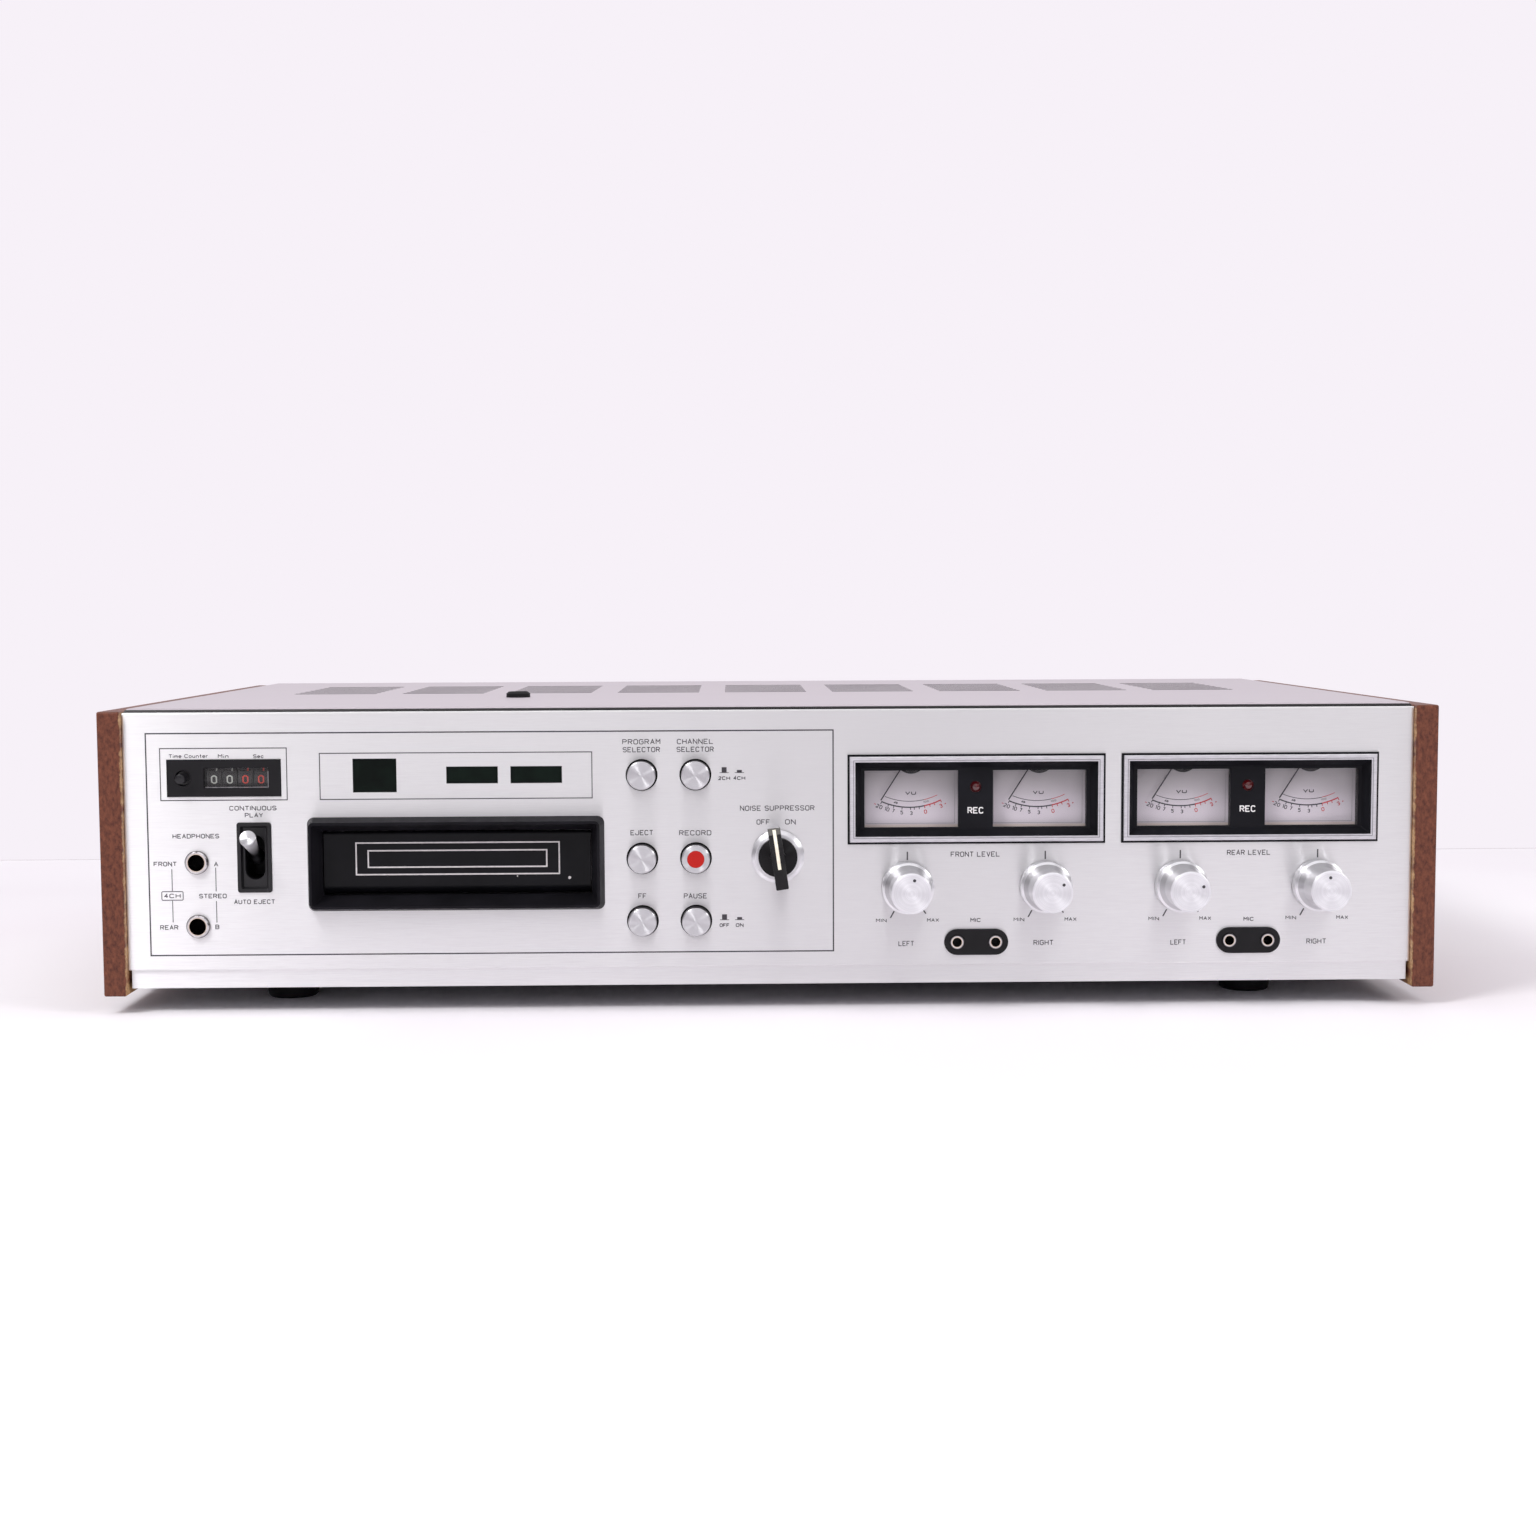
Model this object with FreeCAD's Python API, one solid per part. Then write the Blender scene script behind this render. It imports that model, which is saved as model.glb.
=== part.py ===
"""Eight-track tape recorder deck with wooden cheeks, built as separate pieces.

Millimetres. X runs to the right seen from the front, Y runs to the back and Z runs up.
The origin is the centre of the bounding box on the floor, and the front panel faces -Y.
Heights of the front's features are given from the cheeks' lower edge (see up), and
depths from the front panel's face (see back).
"""
import FreeCAD, Part
import math
import os

V = FreeCAD.Vector

# ---- case --------------------------------------------------------------------------
WIDTH = 510.0            # over both wooden cheeks
BODY_DEPTH = 268.0       # front panel face to rear panel face
CHEEK_T = 8.6            # thickness of a wooden cheek
CHEEK_H = 108.8
CHEEK_PROUD = 3.0        # cheek edge in front of the panel face
CHEEK_EDGE_R = 0.8
FLOOR_GAP = 7.0          # floor to the cheeks' lower edge
SHEET = 1.0              # steel sheet of chassis, cover and rear panel
COVER_RISE = 0.9         # cover top above the cheeks' top
COVER_BEND_R = 2.0       # outer radius of the cover's bends
COVER_FLANGE = 14.0      # side flanges of the cover
COVER_LIP = 8.0          # front and rear flanges of the cover
CHASSIS_LIFT = 3.0       # chassis floor above the cheeks' lower edge
FOOT_R, FOOT_RECESS_R, FOOT_RECESS_H = 11.0, 3.2, 3.0
FOOT_INSET_X = 55.0      # foot centre from the cheek's inner face
FOOT_INSET_Y = 38.0
CLEAR = 0.2              # gap round pieces that only pass each other
RUN = 0.3                # gap round pieces that move
FIT = 0.05               # radial clearance of a shaft in its bush

# ---- cover vents -------------------------------------------------------------------
VENT_GROUPS = 9
VENT_PITCH = 47.5
VENT_W = 36.0
VENT_ROWS = 8
VENT_ROW_PITCH = 11.0
VENT_SLOT = 4.5
VENT_DEPTH = 130.0       # first row behind the panel face
PLUG_X, PLUG_DEPTH = -105.0, 88.0
PLUG_R, PLUG_HOLE_R, PLUG_H, PLUG_BARB_H, PLUG_BARB = 5.0, 3.2, 2.4, 2.5, 0.8

# ---- front panel -------------------------------------------------------------------
PANEL_T = 3.0
PANEL_LOW, PANEL_TOP_GAP = 2.5, 0.7      # above the cheeks' lower edge and below their upper edge
LIP_H = 7.0              # lower strip, set back and narrower
LIP_SET = 1.0
PANEL_SIDE_GAP = 0.2
PANEL_EDGE_R = 0.6

# ---- knobs, buttons and lever ------------------------------------------------------
KNOB_REACH = 20.0        # face of a level knob in front of the panel
KNOB_SKIRT_R, KNOB_SKIRT_L = 9.85, 5.5
KNOB_GRIP_R, KNOB_STEP_L = 7.7, 2.5
KNOB_OFF = 0.5           # gap between a knob and the panel
KNOB_Z, KNOB_SPREAD = 39.8, 26.5
KNOB_NAMES = ("front_left", "front_right", "rear_left", "rear_right")
SHAFT_R = 3.0
BUSH_R = 4.0
POT_R, POT_L = 8.5, 10.0
BUTTON_Z = (83.5, 51.5, 27.4)
BUTTON_NAMES = (("program", "channel"), ("eject", "record"), ("fast_forward", "pause"))
BUTTON_R, BUTTON_GAP = 5.5, 0.6
BUTTON_REACH, BUTTON_TRAVEL = 4.5, 3.5
BUTTON_EDGE_R = 0.7
BUTTON_TAIL = 1.0        # cap behind the front wall
STEM_R, STEM_L = 2.0, 9.0
SWITCH_W, SWITCH_L = 15.0, 28.0
INSERT_R, INSERT_T = 3.3, 0.8
SELECTOR_Z = 52.0
SELECTOR_RING_R, SELECTOR_DISC_R = 10.1, 7.4
SELECTOR_RING_L, SELECTOR_DISC_L = 2.6, 2.2
BAR_W, BAR_L, BAR_REACH = 4.8, 22.6, 14.0
BAR_SLOPE_L, BAR_SLOPE_D = 6.5, 6.0
SELECTOR_ANGLE = -8.0    # pointer at rest, clockwise from upright seen from the front
SELECTOR_BODY_R, SELECTOR_BODY_L = 12.5, 14.0
LEVER_Z = 52.8
LEVER_PLATE_W, LEVER_PLATE_H, LEVER_PLATE_R = 13.1, 26.9, 1.0
LEVER_SLOT_W, LEVER_SLOT_H = 7.4, 17.0
LEVER_PIVOT_DEPTH, LEVER_REACH = 5.0, 10.5
LEVER_TILT = 22.0        # lever above level at rest
LEVER_TIP_R, LEVER_NECK_R, LEVER_BALL_R = 2.85, 1.6, 3.0
LEVER_AXLE_R, LEVER_AXLE_OVER = 0.8, 1.0
LEVER_PLATE_T, LEVER_PLATE_EDGE = 0.6, 1.0
LEVER_ROOM_L, LEVER_BODY_L = 14.0, 18.0
BUSH_SET = 0.3           # threaded bushes stop this far behind the panel face
SHAFT_END = 2.5          # shafts stop this far short of their control's rear face

# ---- jacks -------------------------------------------------------------------------
PHONE_Z = (51.0, 26.5)
PHONE_BORE_R, PHONE_RING_R, PHONE_BUSH_R = 3.2, 4.5, 4.2
PHONE_REACH, PHONE_BORE_L, PHONE_BODY_W = 1.6, 26.0, 13.0
MIC_Z, MIC_SPREAD = 18.4, 7.4
MIC_BORE_R, MIC_RING_R, MIC_BORE_L, MIC_BODY_W = 1.8, 2.6, 13.0, 8.0
MIC_PLATE_W, MIC_PLATE_H, MIC_PLATE_T, MIC_RING_REACH = 24.6, 10.0, 0.8, 0.6
JACK_END = 1.5           # rear wall of the phone and microphone jacks
REAR_JACK_REACH = 8.0    # sleeves behind the rear panel
REAR_JACK_R, REAR_BORE_R = 4.15, 1.65
REAR_FLANGE_R, REAR_FLANGE_T = 6.5, 3.0
REAR_JACK_COLUMNS, REAR_JACK_ROWS = 4, 2
REAR_JACK_PITCH_X, REAR_JACK_PITCH_Z = 20.0, 17.0
REAR_JACK_X, REAR_JACK_Z = 30.0, 40.0
GLAND_INSET, GLAND_Z = 41.4, 28.0        # from the right cheek
GLAND_R, GLAND_BORE_R, GLAND_L = 7.0, 3.5, 14.0

# ---- meters ------------------------------------------------------------------------
BEZEL_W, BEZEL_H, BEZEL_Z, BEZEL_BAND, BEZEL_OUTLINE = 98.8, 34.4, 73.6, 2.15, 0.75
BEZEL_REACH = 1.4        # silver frame in front of the panel
MASK_DEPTH, MASK_T, MASK_SLOPE, MASK_FLANGE_T = 3.0, 1.0, 2.4, 0.6
GLASS_W, GLASS_H, GLASS_Z, GLASS_BETWEEN = 36.0, 21.9, 73.4, 13.4
GLASS_T = 1.0
SCALE_DEPTH, SCALE_T = 8.2, 0.6
METER_WALL, METER_BACK_DEPTH = 1.2, 28.0
METER_TOP = 9.5          # case above the window
METER_SIDE = 1.6         # case beside and below the window
METER_BOSS_R, METER_LEDGE = 4.0, 1.0
WINDOW_SHORT = 6.0       # pane's upper edge below the case's
NEEDLE_FRONT, NEEDLE_HUB_T = 1.6, 0.9    # needle in front of the scale
SPINDLE_END = 7.0        # spindle's end in front of the case's rear face
NEEDLE_PIVOT_UP = 6.3    # pivot above the window
SHROUD_T, SHROUD_R, SHROUD_UP = 0.8, 6.1, 4.7    # disc that hides the needle's hub
NEEDLE_L, NEEDLE_W, NEEDLE_T = 21.4, 0.45, 0.35
NEEDLE_REST = 32.5       # to the left of straight down
NEEDLE_HUB_R, SPINDLE_R = 1.6, 0.8
LAMP_Z, LAMP_R, LAMP_DOME, LAMP_L = 78.0, 2.1, 1.3, 12.0
LAMP_COLLAR = 1.5

# ---- time counter ------------------------------------------------------------------
COUNTER_Z = 83.25
COUNTER_W, COUNTER_H = 43.0, 13.9
COUNTER_REACH = 0.5
COUNTER_BODY_DEPTH = 24.0
COUNTER_WINDOW_SIDE, COUNTER_WINDOW_W, COUNTER_WINDOW_H = 4.7, 24.6, 7.7
WHEEL_PITCH, WHEEL_T, WHEEL_R, WHEEL_FREE = 5.95, 5.5, 7.5, 0.8
WHEEL_NAMES = ("minute_tens", "minute_units", "second_tens", "second_units")
WHEEL_SHAFT_R, WHEEL_FRONT = 1.2, 2.0      # wheels' nearest point behind the panel face
WHEEL_RIM, WHEEL_DISH, WHEEL_HUB_T = 1.2, 1.0, 1.0
COUNTER_WALL, COUNTER_ROOM_OVER = 1.2, 1.0
COUNTER_PANE_FRONT, COUNTER_PANE_BACK = 0.3, 1.5
RESET_SIDE, RESET_R, RESET_FACE_R = 15.5, 2.8, 2.1
RESET_REACH, RESET_TRAVEL, RESET_STEM_L = 1.8, 2.0, 12.0

# ---- status windows: place beside the mouth's middle, width, height -------------------
STATUS_Z = 83.9
STATUS_SIZES = ((-30.5, 16.2, 12.5), (6.5, 19.2, 6.1), (30.9, 19.2, 6.1))
STATUS_T = 2.6

# ---- cartridge mouth and bay ---------------------------------------------------------
CARTRIDGE_W = 101.6      # standard eight-track cartridge, 4 in wide
BAY_Z = 50.0
THROAT_W, THROAT_H = CARTRIDGE_W + 1.2, 25.0
MOUTH_REACH, MOUTH_SLOPE_W, MOUTH_SLOPE_H = 6.0, 2.7, 3.0
MOUTH_DRAFT = 1.5        # the frame widens by this on each side towards the panel
MOUTH_RIM = 1.0
MOUTH_R = 2.0
THROAT_DEPTH = 2.6       # the sloped walls end here
COLLAR_WALL, COLLAR_DEPTH = 2.0, 12.0
DOOR_T, DOOR_GAP, DOOR_DEPTH = 2.5, 0.4, 3.4
DOOR_LIP = 2.6           # the lower edge rolls back by this
TRUNNION_R = 1.0
BAY_SHEET, BAY_WALL_H, BAY_END = 1.2, 20.0, 84.0
STRAP_DEPTH, STRAP_W = 58.0, 14.0

# ---- tape transport --------------------------------------------------------------------
DECK_T = 1.5
DECK_SIDE, DECK_W, DECK_FRONT, DECK_L = 21.5, 160.0, 40.0, 136.0    # beside the bay's middle
DECK_POST_R, DECK_POST_INSET = 4.0, 7.0
CAPSTAN_SIDE, CAPSTAN_BEHIND, CAPSTAN_R, CAPSTAN_TOP = 33.5, 4.0, 1.5, 58.0
FLYWHEEL_R, FLYWHEEL_T, FLYWHEEL_Z, FLYWHEEL_RIM = 33.0, 10.0, 14.0, 7.0
FLYWHEEL_WEB_T, FLYWHEEL_HUB_R = 4.0, 8.0
BEARING_R, BEARING_H = 5.0, 9.0
BRIDGE_T, BRIDGE_W, BRIDGE_FREE = 1.5, 12.0, 5.0
MOTOR_SIDE, MOTOR_BEHIND, MOTOR_R, MOTOR_H = 42.0, 64.0, 20.0, 40.0    # from the capstan
MOTOR_SHAFT_UP = 15.0    # motor shaft's end above the deck plate
PULLEY_R, PULLEY_FLANGE_R, PULLEY_BORE_R = 6.0, 7.4, 1.0
BELT_T, BELT_W = 0.8, 4.0
HEAD_W, HEAD_L, HEAD_H = 16.0, 9.0, 13.0
CARRIAGE_W, CARRIAGE_L, CARRIAGE_H, CARRIAGE_Z = 40.0, 10.0, 15.0, 43.5
GUIDE_R, GUIDE_SPREAD, GUIDE_TOP = 2.0, 15.0, 66.0
HEAD_LIFT, HEAD_STEPS = 2.9, 4
CAM_R, CAM_H, CAM_BORE_R, CAM_GAP, CAM_FREE = 11.0, 6.0, 2.0, 0.7, 3.5
RATCHET_R, RATCHET_T, RATCHET_TEETH, RATCHET_DROP = 13.5, 2.0, 12, 1.6
SOLENOID_W, SOLENOID_L, SOLENOID_H, SOLENOID_GAP = 20.0, 30.0, 18.0, 6.0
PLUNGER_R = 1.0
HEAD_GAP = 2.0           # tape head behind the end of the bay
ARM_W, ARM_T, ARM_UP, PEG_R = 5.0, 3.0, 1.5, 1.5

# ---- electronics -----------------------------------------------------------------------
BOARD_FREE, BOARD_RIGHT, BOARD_FRONT, BOARD_REAR = 2.0, 73.4, 48.0, 19.0    # gaps to its neighbours
BOARD_T, BOARD_RISE, BOARD_POST_R, BOARD_POST_INSET = 1.6, 8.0, 3.0, 8.0
CAPACITOR_R, CAPACITOR_H, CAPACITORS, CAPACITOR_INSET = 6.0, 22.0, 5, 30.0
CORE_W, CORE_L, CORE_H = 56.0, 36.0, 46.0
COIL_W, COIL_BULGE, COIL_H = 30.0, 9.0, 28.0
CORE_INSET, CORE_GAP_Y = 50.4, 14.0

# ---- screws ------------------------------------------------------------------------------
SCREW_R, SCREW_L, SCREW_HEAD_R, SCREW_HEAD_H = 1.5, 8.0, 2.9, 1.8
REAR_SCREW_INSET = 26.4  # outer rear screws from the cheeks
CHEEK_SCREW_Y = (40.0, 228.0)
CHEEK_SCREW_Z = (25.0, 85.0)
SCREW_PILOT_R = 1.6

# ---- places across the front, from the left cheek to the right one ----------------------
# gaps between neighbours; what the width gains is shared out over them
ROW_GAPS = (22.8, 10.85, 13.55, 8.9, 9.5, 15.7, 16.7, 6.2, 13.5)

# ---- derived places ------------------------------------------------------------------------
BODY_W = WIDTH - 2 * CHEEK_T
MOUTH_FRONT_W = THROAT_W + 2 * (MOUTH_SLOPE_W + MOUTH_RIM)
MOUTH_FRONT_H = THROAT_H + 2 * (MOUTH_SLOPE_H + MOUTH_RIM)
ROW_WIDTHS = (2 * PHONE_RING_R, LEVER_PLATE_W, MOUTH_FRONT_W + 2 * MOUTH_DRAFT, 2 * BUTTON_R, 2 * BUTTON_R,
              2 * SELECTOR_RING_R, BEZEL_W, BEZEL_W)


def row_centres():
    """Middles of the jacks, lever, mouth, button columns, selector and meter frames."""
    spread = (BODY_W - sum(ROW_WIDTHS)) / sum(ROW_GAPS)
    edge, centres = -BODY_W / 2, []
    for gap, width in zip(ROW_GAPS, ROW_WIDTHS):
        centres.append(edge + gap * spread + width / 2)
        edge = centres[-1] + width / 2
    return centres


PHONE_X, LEVER_X, BAY_X, *BUTTON_X, SELECTOR_X, METER_LEFT_X, METER_RIGHT_X = row_centres()
METER_X = (METER_LEFT_X, METER_RIGHT_X)
COUNTER_X = (PHONE_X + LEVER_X) / 2
COUNTER_WINDOW_X, RESET_X = COUNTER_X + COUNTER_WINDOW_SIDE, COUNTER_X - RESET_SIDE
COUNTER_BODY_H = 2 * (WHEEL_R + WHEEL_FREE + COUNTER_WALL)
STATUS_WINDOWS = [(BAY_X + side, STATUS_Z, width, height) for side, width, height in STATUS_SIZES]
GLASS_SPREAD = (GLASS_W + GLASS_BETWEEN) / 2
BUTTON_HOLE_R = BUTTON_R + BUTTON_GAP
PANEL_HIGH = CHEEK_H - PANEL_TOP_GAP
DECK_X = BAY_X + DECK_SIDE
CAPSTAN_X, CAPSTAN_DEPTH = BAY_X + CAPSTAN_SIDE, BAY_END + CAPSTAN_BEHIND
BRIDGE_REACH = FLYWHEEL_R + BRIDGE_FREE + BRIDGE_T
MOTOR_X, MOTOR_DEPTH = CAPSTAN_X + MOTOR_SIDE, CAPSTAN_DEPTH + MOTOR_BEHIND
HEAD_X = BAY_X
CAM_DEPTH = BAY_END + HEAD_GAP + HEAD_L + CARRIAGE_L + CAM_FREE + RATCHET_R
BOARD_LEFT = DECK_X + DECK_W / 2 + BOARD_FREE
BOARD_W = BODY_W / 2 - BOARD_RIGHT - BOARD_LEFT
BOARD_L = BODY_DEPTH - SHEET - CORE_GAP_Y - CORE_L - BOARD_REAR - BOARD_FRONT
GLAND_X = BODY_W / 2 - GLAND_INSET
CORE_X = BODY_W / 2 - CORE_INSET
REAR_SCREW_SPREAD = [(BODY_W / 2 - REAR_SCREW_INSET) * share for share in (-1, -1 / 3, 1 / 3, 1)]
PANEL_Y = KNOB_REACH - (KNOB_REACH + BODY_DEPTH + REAR_JACK_REACH) / 2
REAR_Y = PANEL_Y + BODY_DEPTH
COVER_TOP = FLOOR_GAP + CHEEK_H + COVER_RISE
CHASSIS_Z = FLOOR_GAP + CHASSIS_LIFT
CHASSIS_FLOOR = CHASSIS_Z + SHEET
CHASSIS_W = BODY_W - 2 * SHEET
WALL_DEPTH = PANEL_T
WALL_BACK = WALL_DEPTH + SHEET
BAY_FLOOR = BAY_Z - THROAT_H / 2
DECK_TOP = BAY_FLOOR - BAY_SHEET
COLLAR_W = THROAT_W + 2 * COLLAR_WALL
COLLAR_H = THROAT_H + 2 * COLLAR_WALL
RECESS_W = BEZEL_W - 2 * (BEZEL_OUTLINE + BEZEL_BAND)
RECESS_H = BEZEL_H - 2 * (BEZEL_OUTLINE + BEZEL_BAND)
MASK_WALL = 1.0
MASK_CORNER_R = 0.3


def up(height):
    """Height above the cheeks' lower edge, as a height above the floor."""
    return FLOOR_GAP + height


def back(depth):
    """Depth behind the front panel's face, as a Y coordinate."""
    return PANEL_Y + depth


# ---- shape helpers ----------------------------------------------------------------------------
def block(x0, x1, y0, y1, z0, z1):
    return Part.makeBox(x1 - x0, y1 - y0, z1 - z0, V(x0, y0, z0))


def slab(x, z, width, height, y0, y1):
    """Box centred on x and z, from y0 to y1."""
    return block(x - width / 2, x + width / 2, y0, y1, z - height / 2, z + height / 2)


def rod(radius, x, z, y0, y1):
    """Cylinder along Y."""
    return Part.makeCylinder(radius, y1 - y0, V(x, y0, z), V(0, 1, 0))


def post(radius, x, y, z0, z1):
    """Upright cylinder."""
    return Part.makeCylinder(radius, z1 - z0, V(x, y, z0))


def edges_along(shape, axis):
    """Straight edges of a shape that run along an axis."""
    found = []
    for edge in shape.Edges:
        ends = edge.Vertexes
        if len(ends) == 2 and isinstance(edge.Curve, Part.Line):
            run = ends[1].Point.sub(ends[0].Point).normalize()
            if abs(abs(run.dot(axis)) - 1) < 1e-6:
                found.append(edge)
    return found


def rounded_slab(x, z, width, height, y0, y1, radius):
    body = slab(x, z, width, height, y0, y1)
    return body.makeFillet(radius, edges_along(body, V(0, 1, 0)))


def rounded_wire(x, z, width, height, y, radius):
    """Rounded rectangle standing in the XZ plane, as one closed wire."""
    half_w, half_h = width / 2 - radius, height / 2 - radius
    corners = ((half_w, half_h, 0), (-half_w, half_h, 90), (-half_w, -half_h, 180), (half_w, -half_h, 270))
    arcs = []
    for cx, cz, start in corners:
        circle = Part.Circle(V(x + cx, y, z + cz), V(0, -1, 0), radius)
        points = [V(x + cx + radius * math.cos(math.radians(start + turn)), y,
                    z + cz + radius * math.sin(math.radians(start + turn))) for turn in (0, 45, 90)]
        arcs.append(Part.Arc(*points).toShape())
    edges = []
    for number, arc in enumerate(arcs):
        following = arcs[(number + 1) % 4]
        edges.append(arc)
        edges.append(Part.LineSegment(arc.Vertexes[-1].Point, following.Vertexes[0].Point).toShape())
    return Part.Wire(edges)


def turned(profile, x, z, y):
    """Body of revolution about an axis along Y; profile is (radius, y) points from y."""
    face = Part.Face(Part.makePolygon([V(r, d, 0) for r, d in profile + profile[:1]]))
    body = face.revolve(V(0, 0, 0), V(0, 1, 0), 360)
    body.translate(V(x, y, z))
    return body


def turned_up(profile, x, y):
    """Body of revolution about an upright axis; profile is (radius, z) points."""
    face = Part.Face(Part.makePolygon([V(r, 0, h) for r, h in profile + profile[:1]]))
    body = face.revolve(V(0, 0, 0), V(0, 0, 1), 360)
    body.translate(V(x, y, 0))
    return body


def stadium(x, z, width, height, y0, y1):
    run = width - height
    body = slab(x, z, run, height, y0, y1)
    for side in (-1, 1):
        body = body.fuse(rod(height / 2, x + side * run / 2, z, y0, y1))
    return body.removeSplitter()


def upright_stadium(x, z, width, height, y0, y1):
    run = height - width
    body = slab(x, z, width, run, y0, y1)
    for side in (-1, 1):
        body = body.fuse(rod(width / 2, x, z + side * run / 2, y0, y1))
    return body.removeSplitter()


def cut_all(body, tools):
    return body.cut(Part.makeCompound(tools)) if tools else body


def knob_places():
    """Name, x and height of each level knob."""
    spots = [x + side * KNOB_SPREAD for x in METER_X for side in (-1, 1)]
    return [(name, x, up(KNOB_Z)) for name, x in zip(KNOB_NAMES, spots)]


def button_places():
    return [(BUTTON_NAMES[row][column], BUTTON_X[column], up(BUTTON_Z[row]))
            for row in range(3) for column in range(2)]


def meter_places():
    return [x + side * GLASS_SPREAD for x in METER_X for side in (-1, 1)]


def mic_places():
    return [x + side * MIC_SPREAD for x in METER_X for side in (-1, 1)]


def rear_jack_places():
    return [(REAR_JACK_X + column * REAR_JACK_PITCH_X, up(REAR_JACK_Z) + row * REAR_JACK_PITCH_Z)
            for column in range(REAR_JACK_COLUMNS) for row in range(REAR_JACK_ROWS)]


# ---- case -------------------------------------------------------------------------------------
def control_holes(y0, y1):
    """Holes that the front panel and the chassis's front wall share."""
    holes = [rod(BUTTON_HOLE_R, x, z, y0, y1) for _, x, z in button_places()]
    holes += [rod(BUSH_R + CLEAR, x, z, y0, y1) for _, x, z in knob_places()]
    holes += [rod(BUSH_R + CLEAR, SELECTOR_X, up(SELECTOR_Z), y0, y1)]
    holes += [rod(PHONE_BUSH_R + CLEAR, PHONE_X, up(z), y0, y1) for z in PHONE_Z]
    holes += [rod(MIC_RING_R + CLEAR, x, up(MIC_Z), y0, y1) for x in mic_places()]
    tray_side = MASK_WALL + CLEAR
    holes += [slab(x, up(BEZEL_Z), RECESS_W + 2 * tray_side, RECESS_H + 2 * tray_side, y0, y1)
              for x in METER_X]
    holes += [slab(BAY_X, up(BAY_Z), COLLAR_W + 2 * CLEAR, COLLAR_H + 2 * CLEAR, y0, y1)]
    holes += [slab(COUNTER_X, up(COUNTER_Z), COUNTER_W + 2 * CLEAR, COUNTER_H + 2 * CLEAR, y0, y1)]
    holes += [slab(LEVER_X, up(LEVER_Z), LEVER_PLATE_W - 2 * LEVER_PLATE_EDGE,
                   LEVER_PLATE_H - 2 * LEVER_PLATE_EDGE, y0, y1)]
    return holes


def front_panel():
    width = BODY_W - 2 * PANEL_SIDE_GAP
    body = block(-width / 2, width / 2, back(0), back(PANEL_T), up(PANEL_LOW + LIP_H), up(PANEL_HIGH))
    lip = block(-width / 2 + LIP_SET, width / 2 - LIP_SET, back(LIP_SET), back(PANEL_T),
                up(PANEL_LOW), up(PANEL_LOW + LIP_H))
    body = body.fuse(lip).removeSplitter()
    front_top = [e for e in edges_along(body, V(1, 0, 0))
                 if abs(e.CenterOfMass.y - back(0)) < 1e-6]
    body = body.makeFillet(PANEL_EDGE_R, front_top)
    windows = [slab(x, up(z), w + 2 * CLEAR, h + 2 * CLEAR, back(-1), back(PANEL_T + 1))
               for x, z, w, h in STATUS_WINDOWS]
    return cut_all(body, control_holes(back(-1), back(PANEL_T + 1)) + windows)


def chassis():
    """Folded tray (floor and both side walls) and the sub-panel that stands across its front."""
    top = COVER_TOP - COVER_BEND_R
    outer = block(-CHASSIS_W / 2, CHASSIS_W / 2, back(WALL_BACK), REAR_Y - SHEET, CHASSIS_Z, top)
    half = CHASSIS_W / 2 - SHEET
    inner = block(-half, half, back(WALL_BACK) - 1, REAR_Y, CHASSIS_FLOOR, top + SHEET)
    tray = outer.cut(inner)
    front_lip = block(-CHASSIS_W / 2 - 1, CHASSIS_W / 2 + 1, back(WALL_BACK) - 1, back(WALL_BACK) + CLEAR,
                      COVER_TOP - COVER_LIP - CLEAR, top + 1)
    holes = [front_lip]
    for side in (-1, 1):
        for depth in CHEEK_SCREW_Y:
            for height in CHEEK_SCREW_Z:
                start = V(side * CHASSIS_W / 2 - 3 * SHEET, back(depth), up(height))
                holes.append(Part.makeCylinder(SCREW_PILOT_R, 6 * SHEET, start, V(1, 0, 0)))
    wall = block(-CHASSIS_W / 2, CHASSIS_W / 2, back(WALL_DEPTH), back(WALL_BACK), CHASSIS_Z,
                 COVER_TOP - COVER_LIP - CLEAR)
    wall = cut_all(wall, control_holes(back(WALL_DEPTH) - 1, back(WALL_BACK) + 1))
    return Part.makeCompound([cut_all(tray, holes), wall])


def rear_panel():
    low, high = CHASSIS_Z, COVER_TOP - COVER_BEND_R
    body = block(-CHASSIS_W / 2, CHASSIS_W / 2, REAR_Y - SHEET, REAR_Y, low, high)
    holes = [rod(REAR_JACK_R + 2 * CLEAR, x, z, REAR_Y - 3, REAR_Y + 1) for x, z in rear_jack_places()]
    holes.append(rod(GLAND_R, GLAND_X, up(GLAND_Z), REAR_Y - 3, REAR_Y + 1))
    holes += [rod(SCREW_PILOT_R, x, COVER_TOP - COVER_LIP / 2, REAR_Y - 3, REAR_Y + 1)
              for x in REAR_SCREW_SPREAD]
    return cut_all(body, holes)


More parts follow.
